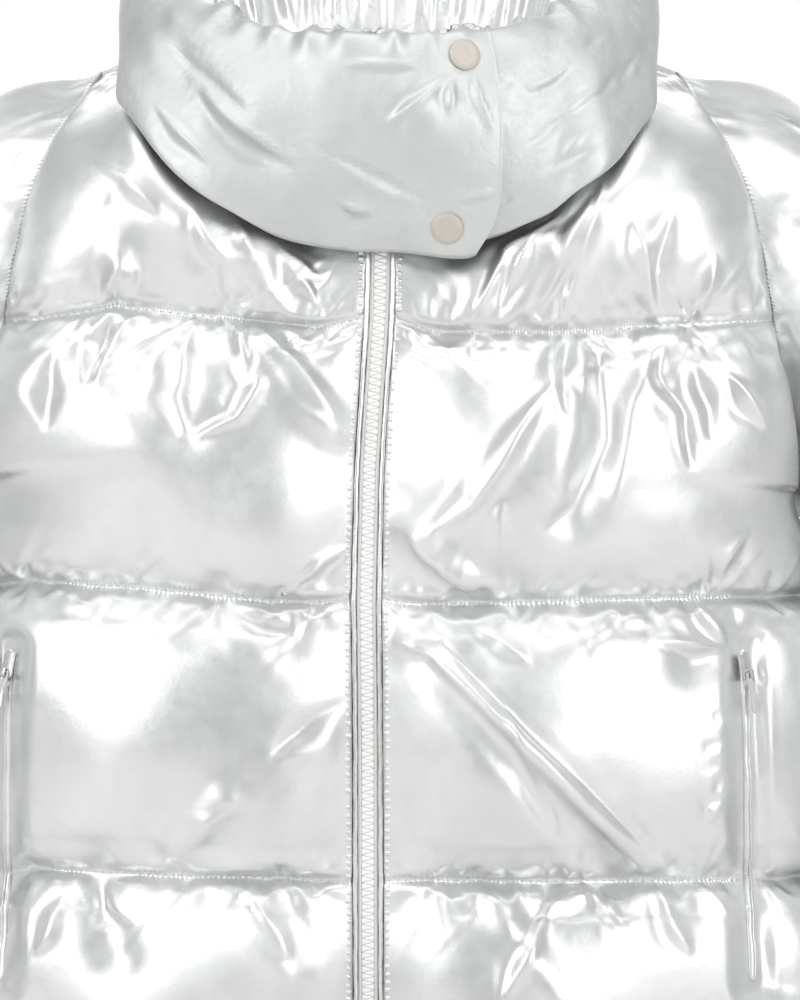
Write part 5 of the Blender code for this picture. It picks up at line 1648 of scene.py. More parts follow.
# A tooth seen from the front: millimetres from the zip's middle, height as a share of the pitch
TOOTH_OUTLINE = (
    (3.0, -0.425), (2.5, -0.425), (1.2, -0.322), (-1.2, -0.140), (-2.4, -0.046),
    (-2.4, 0.046), (-1.2, 0.140), (1.2, 0.322), (2.5, 0.425), (3.0, 0.425),
)
GATHER_PITCH = 3.8 * MM
GATHER_AWAY = 2.0 * MM
GATHER_SIZE = (1.55, 1.5, 0.95)
STITCH_PITCH = 4.2 * MM
STITCH_LENGTH = 3.0 * MM
THREAD_RADIUS = 0.30 * MM

# A stitch from end to end: share of its length, millimetres out of the cloth, thickness as a share
STITCH_SECTIONS = ((0.0, -0.4, 0.5), (0.25, 0.30, 1.0), (0.75, 0.30, 1.0), (1.0, -0.4, 0.5))

# A snap cap turned about its middle: share of the radius, height in millimetres
CAP_PROFILE = (
    (0.00, 2.10), (0.40, 2.16), (0.70, 2.22), (0.78, 2.16), (0.82, 1.95), (0.88, 1.88),
    (0.95, 1.66), (0.992, 1.25), (1.00, 0.85), (0.985, 0.35), (0.93, 0.0),
)

# The pocket's two lips in section: place across as a share of the half width, height as a share of the rise
WELT_PROFILE = (
    (-1.15, -0.55), (-1.0, 0.05), (-0.82, 0.42), (-0.58, 0.72), (-0.34, 0.86), (-0.16, 0.74),
    (-0.07, 0.30), (0.0, -0.20), (0.07, 0.26), (0.16, 0.68), (0.34, 0.80), (0.58, 0.68),
    (0.82, 0.38), (1.0, 0.02), (1.15, -0.55), (0.0, -0.75),
)
WELT_ROWS = 150


class Pieces:
    """Small solids gathered into one mesh, each with the number of its material."""

    def __init__(self):
        self.points = []
        self.faces = []
        self.slots = []

    def add(self, points, faces, slot=0):
        first = len(self.points)
        self.points += [tuple(float(v) for v in point) for point in points]
        self.faces += [tuple(first + index for index in face) for face in faces]
        self.slots += [slot] * len(faces)

    def sweep(self, sections, slot=0):
        sections = np.asarray(sections)
        rows, size = sections.shape[:2]
        self.add(sections.reshape(-1, 3), tube_faces(rows, size), slot)

    def build(self, name, *finishes, smooth_faces=True):
        made = make_mesh(name, self.points, self.faces, smooth_faces)
        for finish in finishes:
            made.data.materials.append(finish)
        made.data.polygons.foreach_set("material_index", self.slots)
        bm = bmesh.new()
        bm.from_mesh(made.data)
        bmesh.ops.recalc_face_normals(bm, faces=bm.faces)
        bm.to_mesh(made.data)
        bm.free()
        return made


def dress(made, slot, *nodes, body="jacket"):
    """Puts a piece on its body and hides the solids it stands for; the slot it is given is not used."""
    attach(made, body)
    if nodes:
        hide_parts(*nodes)
    return made


def zip_place(height):
    """The zip's middle at a height: across, and the depth of the cloth's middle."""
    return column(ZIP_LINE, height, 1), -column(TORSO, height, 2)


def zip_rows(step):
    """Heights down the zip from the collar seam to the hem."""
    top = neckline(0.0)[2] - 0.3 * MM
    count = int((top - SEAM_HEIGHTS[-1]) / step)
    return np.linspace(top, SEAM_HEIGHTS[-1], count)


def zip_sections(side, profile, step, seed):
    """Sections down the centre front: across from the zip's middle and out from the cloth's middle."""
    rng = np.random.default_rng(seed)
    phase = rng.uniform(0.0, math.tau, 3)
    sections = []
    top = neckline(0.0)[2]
    for height in zip_rows(step):
        middle, plane = zip_place(height)
        full = min(1.0, 0.15 + 0.85 * (top - height) / ZIP_TAPER)
        wave = math.sin(height * 210 + phase[0]) + 0.7 * math.sin(height * 530 + phase[1])
        section = []
        for across, out in profile:
            out = HALF_WALL + (out - HALF_WALL) * full if out > HALF_WALL else out
            shift = 0.10 * MM * wave if out > HALF_WALL else 0.0
            section.append((middle + side * (across + shift), plane - out - shift * 0.5, height))
        sections.append(section)
    return sections


def zip_halves(tape, teeth, piping, pitch):
    """Each half of the centre front zip: its woven tape with moulded teeth, and the piping beside it."""
    tape_profile = (
        (0.15 * MM, -HALF_WALL),
        (TAPE_HALF_WIDTH, -HALF_WALL),
        (TAPE_HALF_WIDTH, HALF_WALL - 0.1 * MM),
        (TEETH_HALF_WIDTH + 0.3 * MM, HALF_WALL),
        (TEETH_HALF_WIDTH, HALF_WALL - 0.2 * MM),
        (0.15 * MM, HALF_WALL - 0.2 * MM),
    )
    for side, name in ((1, "left"), (-1, "right")):
        half = Pieces()
        half.sweep(zip_sections(side, tape_profile, 6 * MM, 1), 0)
        top = neckline(0.0)[2] - 9 * MM
        shift = 0.0 if side > 0 else pitch / 2
        for height in np.arange(top - shift, SEAM_HEIGHTS[-1] + 2 * MM, -pitch):
            middle, plane = zip_place(height)
            points = []
            for out, inset in ((-0.2, 0.0), (TEETH_RISE / MM * 0.55, 0.0), (TEETH_RISE / MM * 0.72, 0.13)):
                for x, z in TOOTH_OUTLINE:
                    z = math.copysign(max(abs(z) - inset / 3.5, 0.02), z)
                    x = x + inset if x < 0.0 else x
                    points.append((middle + side * x * MM, plane - HALF_WALL - out * MM, height + z * pitch))
            size = len(TOOTH_OUTLINE)
            faces = quads_of(3, size, True) + [tuple(range(2 * size, 3 * size)), tuple(range(size))[::-1]]
            half.add(points, faces, 1)
        made = half.build("zip_half_" + name, tape, teeth)
        dress(made, "zip_tape", "zip_tape_" + name)
        turns = np.arange(12) * math.tau / 12
        middle = (PIPING_INNER + ZIP_HALF_WIDTH) / 2
        radius = (ZIP_HALF_WIDTH - PIPING_INNER) / 2 - 0.12 * MM
        centre = HALF_WALL + PIPING_RISE - radius
        profile = [(middle + radius * math.cos(a), centre + radius * math.sin(a)) for a in turns[:7]]
        profile += [(middle - radius, -HALF_WALL), (middle + radius, -HALF_WALL)]
        cord = Pieces()
        cord.sweep(zip_sections(side, profile, 2.2 * MM, 5 + side), 0)
        made = cord.build("piping_" + name, piping)
        dress(made, "piping_foil", "zip_piping_" + name)


def dome(pieces, centre, across, along, out, sizes):
    """A small pillow: half widths across, along and out."""
    points = [centre - out * 0.6 * sizes[2]]
    for level, share in ((-0.6, 1.0), (0.2, 0.92), (0.75, 0.62)):
        for turn in np.arange(8) * math.tau / 8:
            round_x = math.copysign(abs(math.cos(turn)) ** 0.75, math.cos(turn))
            round_y = math.copysign(abs(math.sin(turn)) ** 0.75, math.sin(turn))
            place = centre + across * round_x * sizes[0] * share + along * round_y * sizes[1] * share
            points.append(place + out * level * sizes[2])
    points.append(centre + out * sizes[2])
    faces = [(0, 1 + (k + 1) % 8, 1 + k) for k in range(8)]
    for ring in (0, 1):
        for k in range(8):
            a, b = 1 + ring * 8 + k, 1 + ring * 8 + (k + 1) % 8
            faces.append((a, b, b + 8, a + 8))
    faces += [(17 + k, 17 + (k + 1) % 8, 25) for k in range(8)]
    pieces.add(points, faces)


def edge_gathers(foil):
    """The gathers that the stitching beside the zip's piping draws up in each front's edge."""
    for side, name in ((1, "left"), (-1, "right")):
        skin = surface_of([bpy.data.objects["cloth_front_" + name]])
        rng = np.random.default_rng(70 + side)
        row = Pieces()
        height = neckline(0.0)[2] - 4 * MM
        while height > SEAM_HEIGHTS[-1] + 3 * MM:
            middle, _ = zip_place(height)
            size = rng.uniform(0.75, 1.15)
            away = ZIP_HALF_WIDTH + GATHER_AWAY + rng.uniform(-0.25, 0.35) * MM
            hit, normal = seen_from_front(skin, middle + side * away, height)
            near_seam = min(abs(height - seam) for seam in SEAM_HEIGHTS) < 2 * MM
            if hit is not None and not near_seam and rng.random() > 0.07:
                out = unit(np.array(normal) * (1.0 if normal.y < 0.0 else -1.0) + np.array((0.0, -1.2, 0.0)))
                tilt = rng.uniform(-0.25, 0.25)
                across = unit(np.cross(out, np.array((tilt, 0.0, 1.0))))
                along = np.cross(across, out)
                dome(row, np.array(hit), across, along, out, [MM * half * size for half in GATHER_SIZE])
            height -= GATHER_PITCH * rng.uniform(0.82, 1.18)
        made = row.build("edge_gathers_" + name, foil)
        dress(made, "shell_foil")


def stitch_rows(thread):
    """Quilting thread: one short stitch after another, half sunk in each seam."""
    for name, lines in SEAM_LINES.items():
        rows = Pieces()
        for points, normals, wrap in lines:
            if wrap:
                points = np.concatenate([points, points[:1]])
                normals = np.concatenate([normals, normals[:1]])
            along = lengths_along(points)
            for start in np.arange(1.5 * MM, along[-1] - STITCH_LENGTH, STITCH_PITCH):
                section_set = []
                for share, sunk, wide in STITCH_SECTIONS:
                    at = start + share * STITCH_LENGTH
                    place = between(at, along, points)
                    ahead = between(at + 0.5 * MM, along, points)
                    out = unit(between(at, along, normals))
                    way = unit(np.cross(out, ahead - place + 1e-9))
                    centre = place + out * sunk * MM
                    turns = np.arange(5) * math.tau / 5
                    section_set.append([
                        centre + THREAD_RADIUS * wide * (math.cos(a) * way + math.sin(a) * out) for a in turns
                    ])
                rows.sweep(section_set)
        made = rows.build("stitches_" + name, thread)
        dress(made, "shell_foil")


def cap_frame(node_name):
    """A snap cap's foot middle, its outward normal and an axis across, from its solid."""
    places = np.array([vertex.co[:] for vertex in NODES[node_name].data.vertices])
    middle = places.mean(axis=0)
    _, _, axes = np.linalg.svd(places - middle, full_matrices=False)
    out = axes[2] * (1.0 if axes[2][1] < 0.0 else -1.0)
    low = ((places - middle) @ out).min()
    corners = places.min(axis=0), places.max(axis=0)
    centre = (corners[0] + corners[1]) / 2
    centre = centre - out * ((centre - middle) @ out) + out * low
    return centre, out, unit(np.cross(out, np.array((0.0, 0.0, 1.0))))


def snap_caps(cap):
    """The two caps, turned to the profile of a pressed cap on the frame's own places."""
    for name in SNAP_PLACES:
        centre, out, across = cap_frame(name)
        down = np.cross(out, across)
        count = 72
        turns = np.arange(count) * math.tau / count
        sections = []
        for radius, level in CAP_PROFILE:
            radius = max(radius, 0.02) * SNAP_RADIUS
            middle = centre + out * level * MM
            sections.append([middle + radius * (math.cos(a) * across + math.sin(a) * down) for a in turns])
        disc = Pieces()
        disc.sweep(sections)
        made = disc.build(name.replace("snap_cap", "snap"), cap)
        dress(made, "snap_metal", name)


def bevelled(node_name, name, width, finish):
    """A copy of a solid with its edges rounded."""
    mesh = NODES[node_name].data.copy()
    made = bpy.data.objects.new(name, mesh)
    bpy.context.scene.collection.objects.link(made)
    mesh.materials.clear()
    mesh.materials.append(finish)
    bm = bmesh.new()
    bm.from_mesh(mesh)
    bmesh.ops.remove_doubles(bm, verts=bm.verts, dist=0.01 * MM)
    bmesh.ops.dissolve_limit(bm, angle_limit=math.radians(8), verts=bm.verts, edges=bm.edges)
    sharp = [edge for edge in bm.edges if edge.is_manifold and edge.calc_face_angle(0.0) > math.radians(28)]
    bmesh.ops.bevel(bm, geom=sharp, offset=width, segments=2, profile=0.5, affect="EDGES", clamp_overlap=True)
    bmesh.ops.recalc_face_normals(bm, faces=bm.faces)
    bm.to_mesh(mesh)
    bm.free()
    mesh.polygons.foreach_set("use_smooth", [True] * len(mesh.polygons))
    return made


def pocket_parts(welt, zinc, pull):
    """Each pocket's two folded lips of cloth that meet over its zip, with the runner and its pull tab."""
    for side, name in ((1, "left"), (-1, "right")):
        skin = surface_of([NODES["front_" + name]])
        rng = np.random.default_rng(90 + side)
        phase = rng.uniform(0.0, math.tau, 3)
        strip = Pieces()
        sections = []
        (top_x, top_z), (foot_x, foot_z) = pocket_line(side)
        for share in np.linspace(0.0, 1.0, WELT_ROWS):
            x = top_x + (foot_x - top_x) * share
            z = top_z + (foot_z - top_z) * share
            _, normal, across, _ = frame_at(skin, x, z)
            closing = 1.0 - 0.75 * max(0.0, 1.0 - min(share, 1.0 - share) / 0.02) ** 2
            wave = 0.10 * math.sin(61 * share + phase[0]) + 0.07 * math.sin(143 * share + phase[1])
            swell = 1.0 + 0.16 * math.sin(37 * share + phase[2])
            section = []
            for wide, out in WELT_PROFILE:
                reach = (wide + wave * (1.0 - abs(wide) / 1.15)) * closing * POCKET_HALF_WIDTH * 0.78
                aim = np.array((x, 0.0, z)) + across * reach
                hit = seen_from_front(skin, aim[0], z)[0]
                out = out * swell if out > 0.0 else out
                section.append(np.array(hit) + normal * (POCKET_SEAT + out * POCKET_RISE))
            sections.append(section)
        strip.sweep(sections)
        made = strip.build("pocket_welts_" + name, welt)
        dress(made, "pocket_zip", "pocket_zip_" + name)
        made = bevelled("pocket_slider_" + name, "pocket_runner_" + name, 0.22 * MM, zinc)
        dress(made, "zip_metal", "pocket_slider_" + name)
        made = bevelled("pocket_pull_" + name, "pocket_tab_" + name, 0.18 * MM, pull)
        dress(made, "zip_metal", "pocket_pull_" + name, body="pull_" + name)
    made = bevelled("zip_slider", "front_runner", 0.2 * MM, zinc)
    dress(made, "zip_metal", "zip_slider")


# ---------------------------------------------------------------- materials

def linear(text):
    """A colour from its sRGB hex digits."""
    values = [int(text[k : k + 2], 16) / 255 for k in (0, 2, 4)]
    return [v / 12.92 if v <= 0.04045 else ((v + 0.055) / 1.055) ** 2.4 for v in values] + [1.0]


def node(tree, kind, sockets=None, **settings):
    """One shader node with its settings; each socket is given a value, or another node's output as a link."""
    made = tree.nodes.new(kind)
    for name, value in settings.items():
        setattr(made, name, value)
    for socket, value in (sockets or {}).items():
        if isinstance(value, bpy.types.NodeSocket):
            tree.links.new(value, made.inputs[socket])
        else:
            made.inputs[socket].default_value = value
    return made


def new_material(name, colour, sockets):
    """A material's tree, its Principled shader with its own values, and the object's coordinates."""
    made = bpy.data.materials.new(name)
    made.use_nodes = True
    tree = made.node_tree
    shader = tree.nodes["Principled BSDF"]
    shader.inputs["Base Color"].default_value = colour
    for socket, value in sockets.items():
        shader.inputs[socket].default_value = value
    return made, tree, shader, node(tree, "ShaderNodeTexCoord").outputs["Object"]


def darker(colour, share):
    """The colour at a share of its light."""
    return [share * value for value in colour[:3]] + [1.0]


# How large each pattern is on the cloth: a noise's scale is one over its size, a wave's has ten bands in pi.
CLOUD = 62.5 * MM
MOTTLE = 7.7 * MM
CRINKLE = 16.7 * MM
DRIFT = 14.3 * MM
PLEAT = 2.6 * MM
SPECKLE = 2.4 * MM
GRAIN = 0.67 * MM
WAVE = math.tau / 20
TAPE_RIB = 0.75 * MM
THREAD_TWIST = 0.35 * MM
CORD_SPOT = 4.2 * MM
CORD_GRAIN = 3.1 * MM
MOULD_SPOT = 2.0 * MM
MOULD_GRAIN = 1.1 * MM
PLATING_CLOUD = 3.8 * MM
PLATING_SPOT = 2.4 * MM
PLATING_GRAIN = 1.4 * MM
NICKEL_SPOT = 2.0 * MM
NICKEL_GRAIN = 0.83 * MM
PAINT_SPOT = 3.3 * MM
PAINT_GRAIN = 1.25 * MM
PAPER_CLOUD = 16.7 * MM


def foil_cloth(name, colour, crinkled, rough_low, rough_high):
    """Foil-coated polyester: soft bright reflections, broken by crinkles, rubbed clouds and pleats."""
    made, tree, shader, place = new_material(name, colour, {"Metallic": 1.0})
    clouds = node(tree, "ShaderNodeTexNoise", {"Vector": place, "Scale": 1 / CLOUD, "Detail": 6.0,
                  "Roughness": 0.62, "Distortion": 0.4}).outputs["Fac"]
    mottle = node(tree, "ShaderNodeTexNoise", {"Vector": place, "Scale": 1 / MOTTLE, "Detail": 5.0,
                  "Roughness": 0.6}).outputs["Fac"]
    # Rubbed clouds and a finer mottle blur the reflections unevenly, as worn foil does.
    rubbed = node(tree, "ShaderNodeMapRange", {"Value": clouds, "From Min": 0.35, "From Max": 0.68,
                  "To Min": rough_low, "To Max": rough_high}).outputs[0]
    mottled = node(tree, "ShaderNodeMapRange", {"Value": mottle, "From Min": 0.3, "From Max": 0.7,
                   "To Min": -0.03, "To Max": 0.04}).outputs[0]
    rough = node(tree, "ShaderNodeMath", {0: rubbed, 1: mottled}, operation="ADD").outputs[0]
    tree.links.new(rough, shader.inputs["Roughness"])
    share = node(tree, "ShaderNodeMapRange", {"Value": clouds, "From Min": 0.3, "From Max": 0.7}).outputs[0]
    tone = node(tree, "ShaderNodeMix", {"Factor": share, "A": darker(colour, 0.86), "B": colour},
                data_type="RGBA")
    tree.links.new(tone.outputs["Result"], shader.inputs["Base Color"])
    # Crinkles in the foil itself, broad and shallow.
    folded = node(tree, "ShaderNodeTexNoise", {"Vector": place, "Scale": 1 / CRINKLE, "Detail": 4.0,
                  "Roughness": 0.55, "Distortion": 0.5}).outputs["Fac"]
    crinkle = node(tree, "ShaderNodeBump", {"Height": folded, "Strength": 0.20 * crinkled,
                   "Distance": 1.0 * MM}).outputs[0]
    # Short pleats across each seam, where the needle gathers the cloth.
    away = node(tree, "ShaderNodeAttribute", attribute_name="seam_away").outputs["Fac"]
    along = node(tree, "ShaderNodeAttribute", attribute_name="seam_along").outputs["Fac"]
    wander = node(tree, "ShaderNodeTexNoise", {"Vector": place, "Scale": 1 / DRIFT,
                  "Detail": 3.0}).outputs["Fac"]
    drift = node(tree, "ShaderNodeMath", {0: wander, 1: 14.0}, operation="MULTIPLY").outputs[0]
    phase = node(tree, "ShaderNodeMath", {0: along, 1: math.tau / PLEAT, 2: drift},
                 operation="MULTIPLY_ADD").outputs[0]
    wave = node(tree, "ShaderNodeMath", {0: phase}, operation="SINE").outputs[0]
    near = node(tree, "ShaderNodeMapRange", {"Value": away, "From Min": 0.8 * MM, "From Max": 4.2 * MM,
                "To Min": 1.0, "To Max": 0.0}).outputs[0]
    patchy = node(tree, "ShaderNodeMapRange", {"Value": clouds, "From Min": 0.42,
                  "From Max": 0.58}).outputs[0]
    where = node(tree, "ShaderNodeMath", {0: near, 1: patchy}, operation="MULTIPLY").outputs[0]
    pleats = node(tree, "ShaderNodeMath", {0: wave, 1: where}, operation="MULTIPLY").outputs[0]
    sewn = node(tree, "ShaderNodeBump", {"Height": pleats, "Strength": 0.45, "Distance": 0.30 * MM,
                "Normal": crinkle}).outputs[0]
    # Speckle and grain: the weave under the foil, drawn coarser than the real 0.2 mm so that it shows.
    specks = node(tree, "ShaderNodeTexNoise", {"Vector": place, "Scale": 1 / SPECKLE, "Detail": 5.0,
                  "Roughness": 0.7}).outputs["Fac"]
    speckle = node(tree, "ShaderNodeBump", {"Height": specks, "Strength": 0.20, "Distance": 0.35 * MM,
                   "Normal": sewn}).outputs[0]
    grains = node(tree, "ShaderNodeTexNoise", {"Vector": place, "Scale": 1 / GRAIN,
                  "Detail": 2.0}).outputs["Fac"]
    grain = node(tree, "ShaderNodeBump", {"Height": grains, "Strength": 0.10, "Distance": 0.2 * MM,
                 "Normal": speckle}).outputs[0]
    tree.links.new(grain, shader.inputs["Normal"])
    return made


def spotted(name, colour, sockets, rough, spot, grain, strength, depth):
    """A smooth coating whose gloss changes from spot to spot, over a fine grain."""
    made, tree, shader, place = new_material(name, colour, sockets)
    spots = node(tree, "ShaderNodeTexNoise", {"Vector": place, "Scale": 1 / spot,
                 "Detail": 3.0}).outputs["Fac"]
    gloss = node(tree, "ShaderNodeMapRange", {"Value": spots, "From Min": 0.3, "From Max": 0.7,
                 "To Min": rough[0], "To Max": rough[1]}).outputs[0]
    tree.links.new(gloss, shader.inputs["Roughness"])
    grains = node(tree, "ShaderNodeTexNoise", {"Vector": place, "Scale": 1 / grain,
                  "Detail": 2.0}).outputs["Fac"]
    bump = node(tree, "ShaderNodeBump", {"Height": grains, "Strength": strength,
                "Distance": depth}).outputs[0]
    tree.links.new(bump, shader.inputs["Normal"])
    return made, tree, shader, place


def piping_foil(colour):
    """The same foil folded tight over a cord: brighter and smoother, with a faint twist."""
    return spotted("foil_piping", colour, {"Metallic": 0.85}, (0.18, 0.32),
                   CORD_SPOT, CORD_GRAIN, 0.25, 0.4 * MM)[0]


def woven_tape(colour):
    """Pearl-white polyester tape: a fine rib down its length and a slight sheen."""
    made, tree, shader, place = new_material("pearl_polyester_tape", colour,
                                             {"Roughness": 0.5, "Sheen Weight": 0.3})
    # The rib is drawn at three quarters of a millimetre, coarser than the real third, so that it shows.
    ribs = node(tree, "ShaderNodeTexWave", {"Vector": place, "Scale": WAVE / TAPE_RIB,
                "Distortion": 0.6}).outputs["Fac"]
    bump = node(tree, "ShaderNodeBump", {"Height": ribs, "Strength": 0.5, "Distance": 0.2 * MM}).outputs[0]
    tree.links.new(bump, shader.inputs["Normal"])
    clouds = node(tree, "ShaderNodeTexNoise", {"Vector": place, "Scale": 1 / CRINKLE,
                  "Detail": 3.0}).outputs["Fac"]
    tone = node(tree, "ShaderNodeMix", {"Factor": clouds, "A": darker(colour, 0.91), "B": colour},
                data_type="RGBA")
    tree.links.new(tone.outputs["Result"], shader.inputs["Base Color"])
    return made


def moulded_teeth(colour):
    """Moulded acetal teeth: milky pearl with the mould's soft shine."""
    return spotted("pearl_acetal", colour, {"Coat Weight": 0.3}, (0.26, 0.42),
                   MOULD_SPOT, MOULD_GRAIN, 0.15, 0.2 * MM)[0]


def silver_thread(colour):
    """Twisted polyester thread, silver grey with a fine diagonal twist."""
    made, tree, shader, place = new_material("silver_polyester_thread", colour,
                                             {"Metallic": 0.25, "Roughness": 0.42})
    twist = node(tree, "ShaderNodeTexWave", {"Vector": place, "Scale": WAVE / THREAD_TWIST}).outputs["Fac"]
    bump = node(tree, "ShaderNodeBump", {"Height": twist, "Strength": 0.4, "Distance": 0.1 * MM}).outputs[0]
    tree.links.new(bump, shader.inputs["Normal"])
    return made


def champagne_metal(colour):
    """Matte champagne plating on the snap caps: fine tumbled grain that blurs every reflection."""
    made, tree, shader, place = spotted("matte_champagne_plating", colour, {"Metallic": 0.35}, (0.50, 0.66),
                                        PLATING_SPOT, PLATING_GRAIN, 0.35, 0.3 * MM)
    clouds = node(tree, "ShaderNodeTexNoise", {"Vector": place, "Scale": 1 / PLATING_CLOUD, "Detail": 5.0,
                  "Roughness": 0.65}).outputs["Fac"]
    tone = node(tree, "ShaderNodeMix", {"Factor": clouds, "A": darker(colour, 0.81), "B": colour},
                data_type="RGBA")
    tree.links.new(tone.outputs["Result"], shader.inputs["Base Color"])
    return made


def satin_nickel(colour):
    """Satin nickel on the zip runners: a soft tumbled finish."""
    return spotted("satin_nickel", colour, {"Metallic": 1.0}, (0.24, 0.40),
                   NICKEL_SPOT, NICKEL_GRAIN, 0.12, 0.1 * MM)[0]


def painted_pull(colour):
    """Pale silver paint on the pull tabs, satin and slightly uneven."""
    return spotted("pale_silver_paint", colour, {"Metallic": 0.35}, (0.28, 0.42),
                   PAINT_SPOT, PAINT_GRAIN, 0.12, 0.1 * MM)[0]


# ---------------------------------------------------------------- stage

CAMERA_MIDDLE = (0.00575, -0.236)
CAMERA_AWAY = 2.2
SENSOR = 36.0
CHEST_FRONT = -0.160
FLOOR_HEIGHT = -0.7015
ROOM_COLOUR = (0.64, 0.643, 0.645, 1.0)

# Soft lights, in metres and watts: place, what it faces, width and height, power
CHEST = (0.0, CHEST_FRONT, -0.28)
LIGHTS = {
    "key_left": ((-1.5, -1.7, 0.75), CHEST, (1.1, 1.6), 15.5),
    "key_right": ((1.5, -1.8, 0.60), CHEST, (1.1, 1.6), 15.5),
    "top": ((0.0, -0.6, 1.7), CHEST, (1.6, 1.0), 10.0),
    "behind": ((0.0, 2.0, 0.8), (0.0, 0.1, -0.3), (1.8, 1.4), 18.0),
}


def softbox(name, place, aim, size, energy):
    """A rectangular area light turned towards a place."""
    light = bpy.data.lights.new(name, "AREA")
    light.shape = "RECTANGLE"
    light.size, light.size_y = size
    light.energy = energy
    made = bpy.data.objects.new(name, light)
    made.location = place
    made.rotation_euler = (Vector(aim) - Vector(place)).to_track_quat("-Z", "Y").to_euler()
    bpy.context.scene.collection.objects.link(made)


def stage_pieces(view_height):
    """A pale paper floor, a white backdrop, soft lights and a camera on the chest."""
    scene = bpy.context.scene
    scene.view_settings.view_transform = "Standard"
    world = bpy.data.worlds.new("studio")
    scene.world = world
    world.use_nodes = True
    tree = world.node_tree
    tree.nodes.clear()
    seen = node(tree, "ShaderNodeLightPath").outputs["Is Camera Ray"]
    room = node(tree, "ShaderNodeBackground", {"Color": ROOM_COLOUR}).outputs[0]
    backdrop = node(tree, "ShaderNodeBackground", {"Color": (1.0, 1.0, 1.0, 1.0)}).outputs[0]
    mixed = node(tree, "ShaderNodeMixShader", {0: seen, 1: room, 2: backdrop}).outputs[0]
    node(tree, "ShaderNodeOutputWorld", {"Surface": mixed})
    for name, (place, aim, size, energy) in LIGHTS.items():
        softbox(name, place, aim, size, energy)
    camera = bpy.data.cameras.new("camera")
    camera.lens = SENSOR * CAMERA_AWAY / view_height
    camera.sensor_width = SENSOR
    made = bpy.data.objects.new("camera", camera)
    made.location = (CAMERA_MIDDLE[0], CHEST_FRONT - CAMERA_AWAY, CAMERA_MIDDLE[1])
    made.rotation_euler = (math.pi / 2, 0.0, 0.0)
    scene.collection.objects.link(made)
    scene.camera = made
    bpy.ops.mesh.primitive_plane_add(size=6.0, location=(0.0, 0.0, FLOOR_HEIGHT))
    floor = bpy.context.object
    floor.name = "floor"
    paper, tree, shader, place = new_material("white_paper", linear("F4F4F2"), {"Roughness": 0.9})
    clouds = node(tree, "ShaderNodeTexNoise", {"Vector": place, "Scale": 1 / PAPER_CLOUD,
                  "Detail": 4.0}).outputs["Fac"]
    bump = node(tree, "ShaderNodeBump", {"Height": clouds, "Strength": 0.05, "Distance": 0.4 * MM}).outputs[0]
    tree.links.new(bump, shader.inputs["Normal"])
    floor.data.materials.append(paper)


# ---------------------------------------------------------------- operators

class JacketSettings(bpy.types.PropertyGroup):
    """What a user may change before making the jacket again."""
    pressure: bpy.props.FloatProperty(
        name="Padding Pressure", description="How hard the padding presses the cloth out",
        default=4.0, min=0.0, max=12.0)
    crease_height: bpy.props.FloatProperty(
        name="Crease Height", description="Multiplies the height of the creases placed by hand",
        default=1.0, min=0.0, max=2.0)
    tooth_pitch: bpy.props.FloatProperty(
        name="Tooth Pitch", description="From one tooth of the front zip to the next on its side",
        default=3.5 * MM, min=2 * MM, max=6 * MM, unit="LENGTH")
    view_height: bpy.props.FloatProperty(
        name="View Height", description="How much of the jacket the camera sees, from top to bottom",
        default=0.5, min=0.1, max=2.0, unit="LENGTH")
    foil_colour: bpy.props.FloatVectorProperty(
        name="Foil Colour", description="Colour of the shell's foil",
        default=linear("E9EAEA"), size=4, min=0.0, max=1.0, subtype="COLOR")
    # The collar's colour is the shell's foil darkened as painted shade: the same foil only looks greyer on
    # the collar because it faces away from the lights.
    collar_colour_painted_shade: bpy.props.FloatVectorProperty(
        name="Collar Colour", description="Colour of the collar's rubbed foil",
        default=linear("DADCDB"), size=4, min=0.0, max=1.0, subtype="COLOR")
    tape_colour: bpy.props.FloatVectorProperty(
        name="Tape Colour", description="Colour of the zip's tapes and teeth",
        default=linear("F5F5F3"), size=4, min=0.0, max=1.0, subtype="COLOR")
    thread_colour: bpy.props.FloatVectorProperty(
        name="Thread Colour", description="Colour of the quilting thread",
        default=linear("D6D8D7"), size=4, min=0.0, max=1.0, subtype="COLOR")
    snap_colour: bpy.props.FloatVectorProperty(
        name="Snap Colour", description="Colour of the snap caps' plating",
        default=linear("D0CAC2"), size=4, min=0.0, max=1.0, subtype="COLOR")
    metal_colour: bpy.props.FloatVectorProperty(
        name="Metal Colour", description="Colour of the sliders and their pull tabs",
        default=linear("CCCDCB"), size=4, min=0.0, max=1.0, subtype="COLOR")


class JACKET_OT_walls(bpy.types.Operator):
    """Make the five padded walls"""
    bl_idname = "jacket.walls"
    bl_label = "Padded Walls"

    def execute(self, context):
        settings = context.scene.jacket
        foil = foil_cloth("foil_coated_polyester", list(settings.foil_colour), 1.0, 0.33, 0.45)
        for panel in all_panels():
            name = panel.name
            made = wall_piece(panel, WALL_SEEDS[name], settings)
            made.data.materials.append(foil)
            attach(made, "jacket")
            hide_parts(name)
        return {"FINISHED"}


class JACKET_OT_collar(bpy.types.Operator):
    """Make the funnel collar"""
    bl_idname = "jacket.collar"
    bl_label = "Funnel Collar"

    def execute(self, context):
        # The collar's outside: the shell's foil made rougher, with its colour darkened as painted shade.
        rubbed = foil_cloth("rubbed_foil_painted_shade", list(context.scene.jacket.collar_colour_painted_shade), 0.65, 0.50, 0.62)
        made = collar_piece(all_panels(), rubbed, bpy.data.materials["foil_coated_polyester"])
        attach(made, "jacket")
        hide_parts("collar")
        return {"FINISHED"}


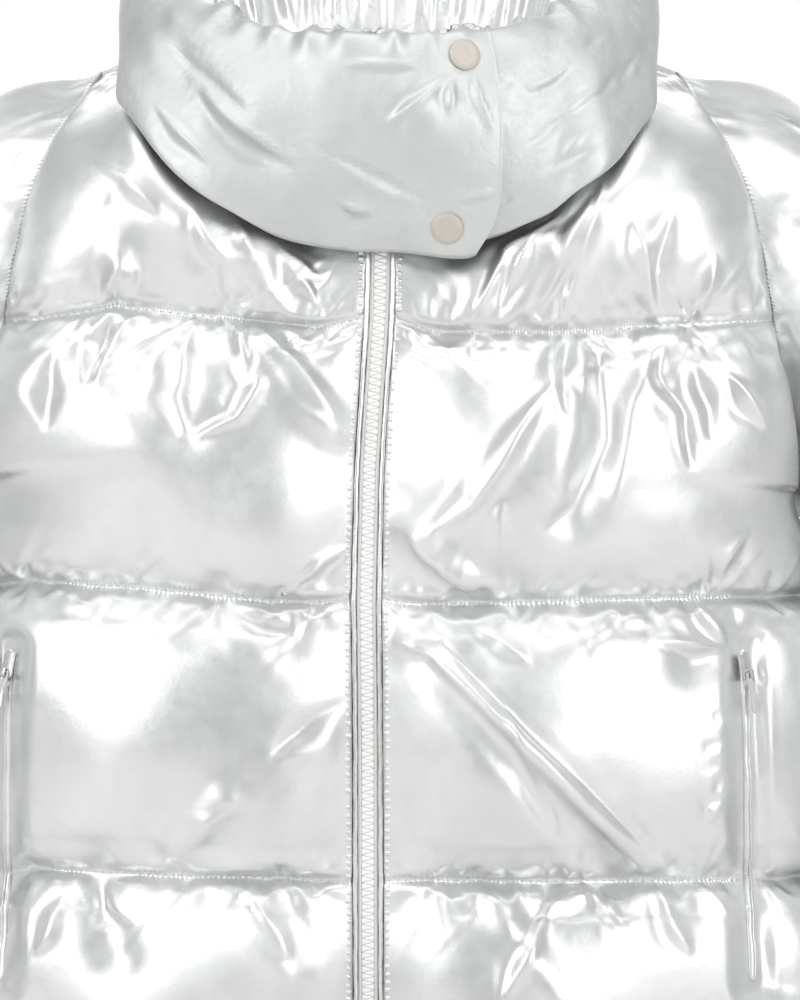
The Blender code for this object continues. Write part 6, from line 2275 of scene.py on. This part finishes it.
class JACKET_OT_zip(bpy.types.Operator):
    """Make the centre front zip with its piping, gathers and the quilting thread"""
    bl_idname = "jacket.zip"
    bl_label = "Front Zip and Stitching"

    def execute(self, context):
        foil = bpy.data.materials["foil_coated_polyester"]
        settings = context.scene.jacket
        tape = list(settings.tape_colour)
        piping = piping_foil(list(settings.foil_colour))
        zip_halves(woven_tape(tape), moulded_teeth(tape), piping, settings.tooth_pitch)
        edge_gathers(foil)
        stitch_rows(silver_thread(list(settings.thread_colour)))
        return {"FINISHED"}


class JACKET_OT_fastenings(bpy.types.Operator):
    """Make the snap caps and the pocket zips with their sliders and pull tabs"""
    bl_idname = "jacket.fastenings"
    bl_label = "Snaps and Pockets"

    def execute(self, context):
        settings = context.scene.jacket
        snap_caps(champagne_metal(list(settings.snap_colour)))
        metal = list(settings.metal_colour)
        pocket_parts(bpy.data.materials["foil_coated_polyester"], satin_nickel(metal), painted_pull(metal))
        return {"FINISHED"}


class JACKET_OT_stage(bpy.types.Operator):
    """Set the floor, lights and camera"""
    bl_idname = "jacket.stage"
    bl_label = "Stage"

    def execute(self, context):
        stage_pieces(context.scene.jacket.view_height)
        return {"FINISHED"}


class JACKET_PT_panel(bpy.types.Panel):
    """The jacket's operators"""
    bl_idname = "JACKET_PT_panel"
    bl_label = "Jacket"
    bl_space_type = "VIEW_3D"
    bl_region_type = "UI"
    bl_category = "Jacket"

    def draw(self, context):
        for name in JacketSettings.__annotations__:
            self.layout.prop(context.scene.jacket, name)
        for name in ("walls", "collar", "zip", "fastenings", "stage"):
            self.layout.operator("jacket." + name)


CLASSES = (
    JacketSettings,
    JACKET_OT_walls,
    JACKET_OT_collar,
    JACKET_OT_zip,
    JACKET_OT_fastenings,
    JACKET_OT_stage,
    JACKET_PT_panel,
)


def register():
    for item in CLASSES:
        bpy.utils.register_class(item)
    bpy.types.Scene.jacket = bpy.props.PointerProperty(type=JacketSettings)


def unregister():
    del bpy.types.Scene.jacket
    for item in reversed(CLASSES):
        bpy.utils.unregister_class(item)


def main():
    register()
    bpy.ops.jacket.walls()
    bpy.ops.jacket.collar()
    bpy.ops.jacket.zip()
    bpy.ops.jacket.fastenings()
    bpy.ops.jacket.stage()


if __name__ == "__main__":
    main()
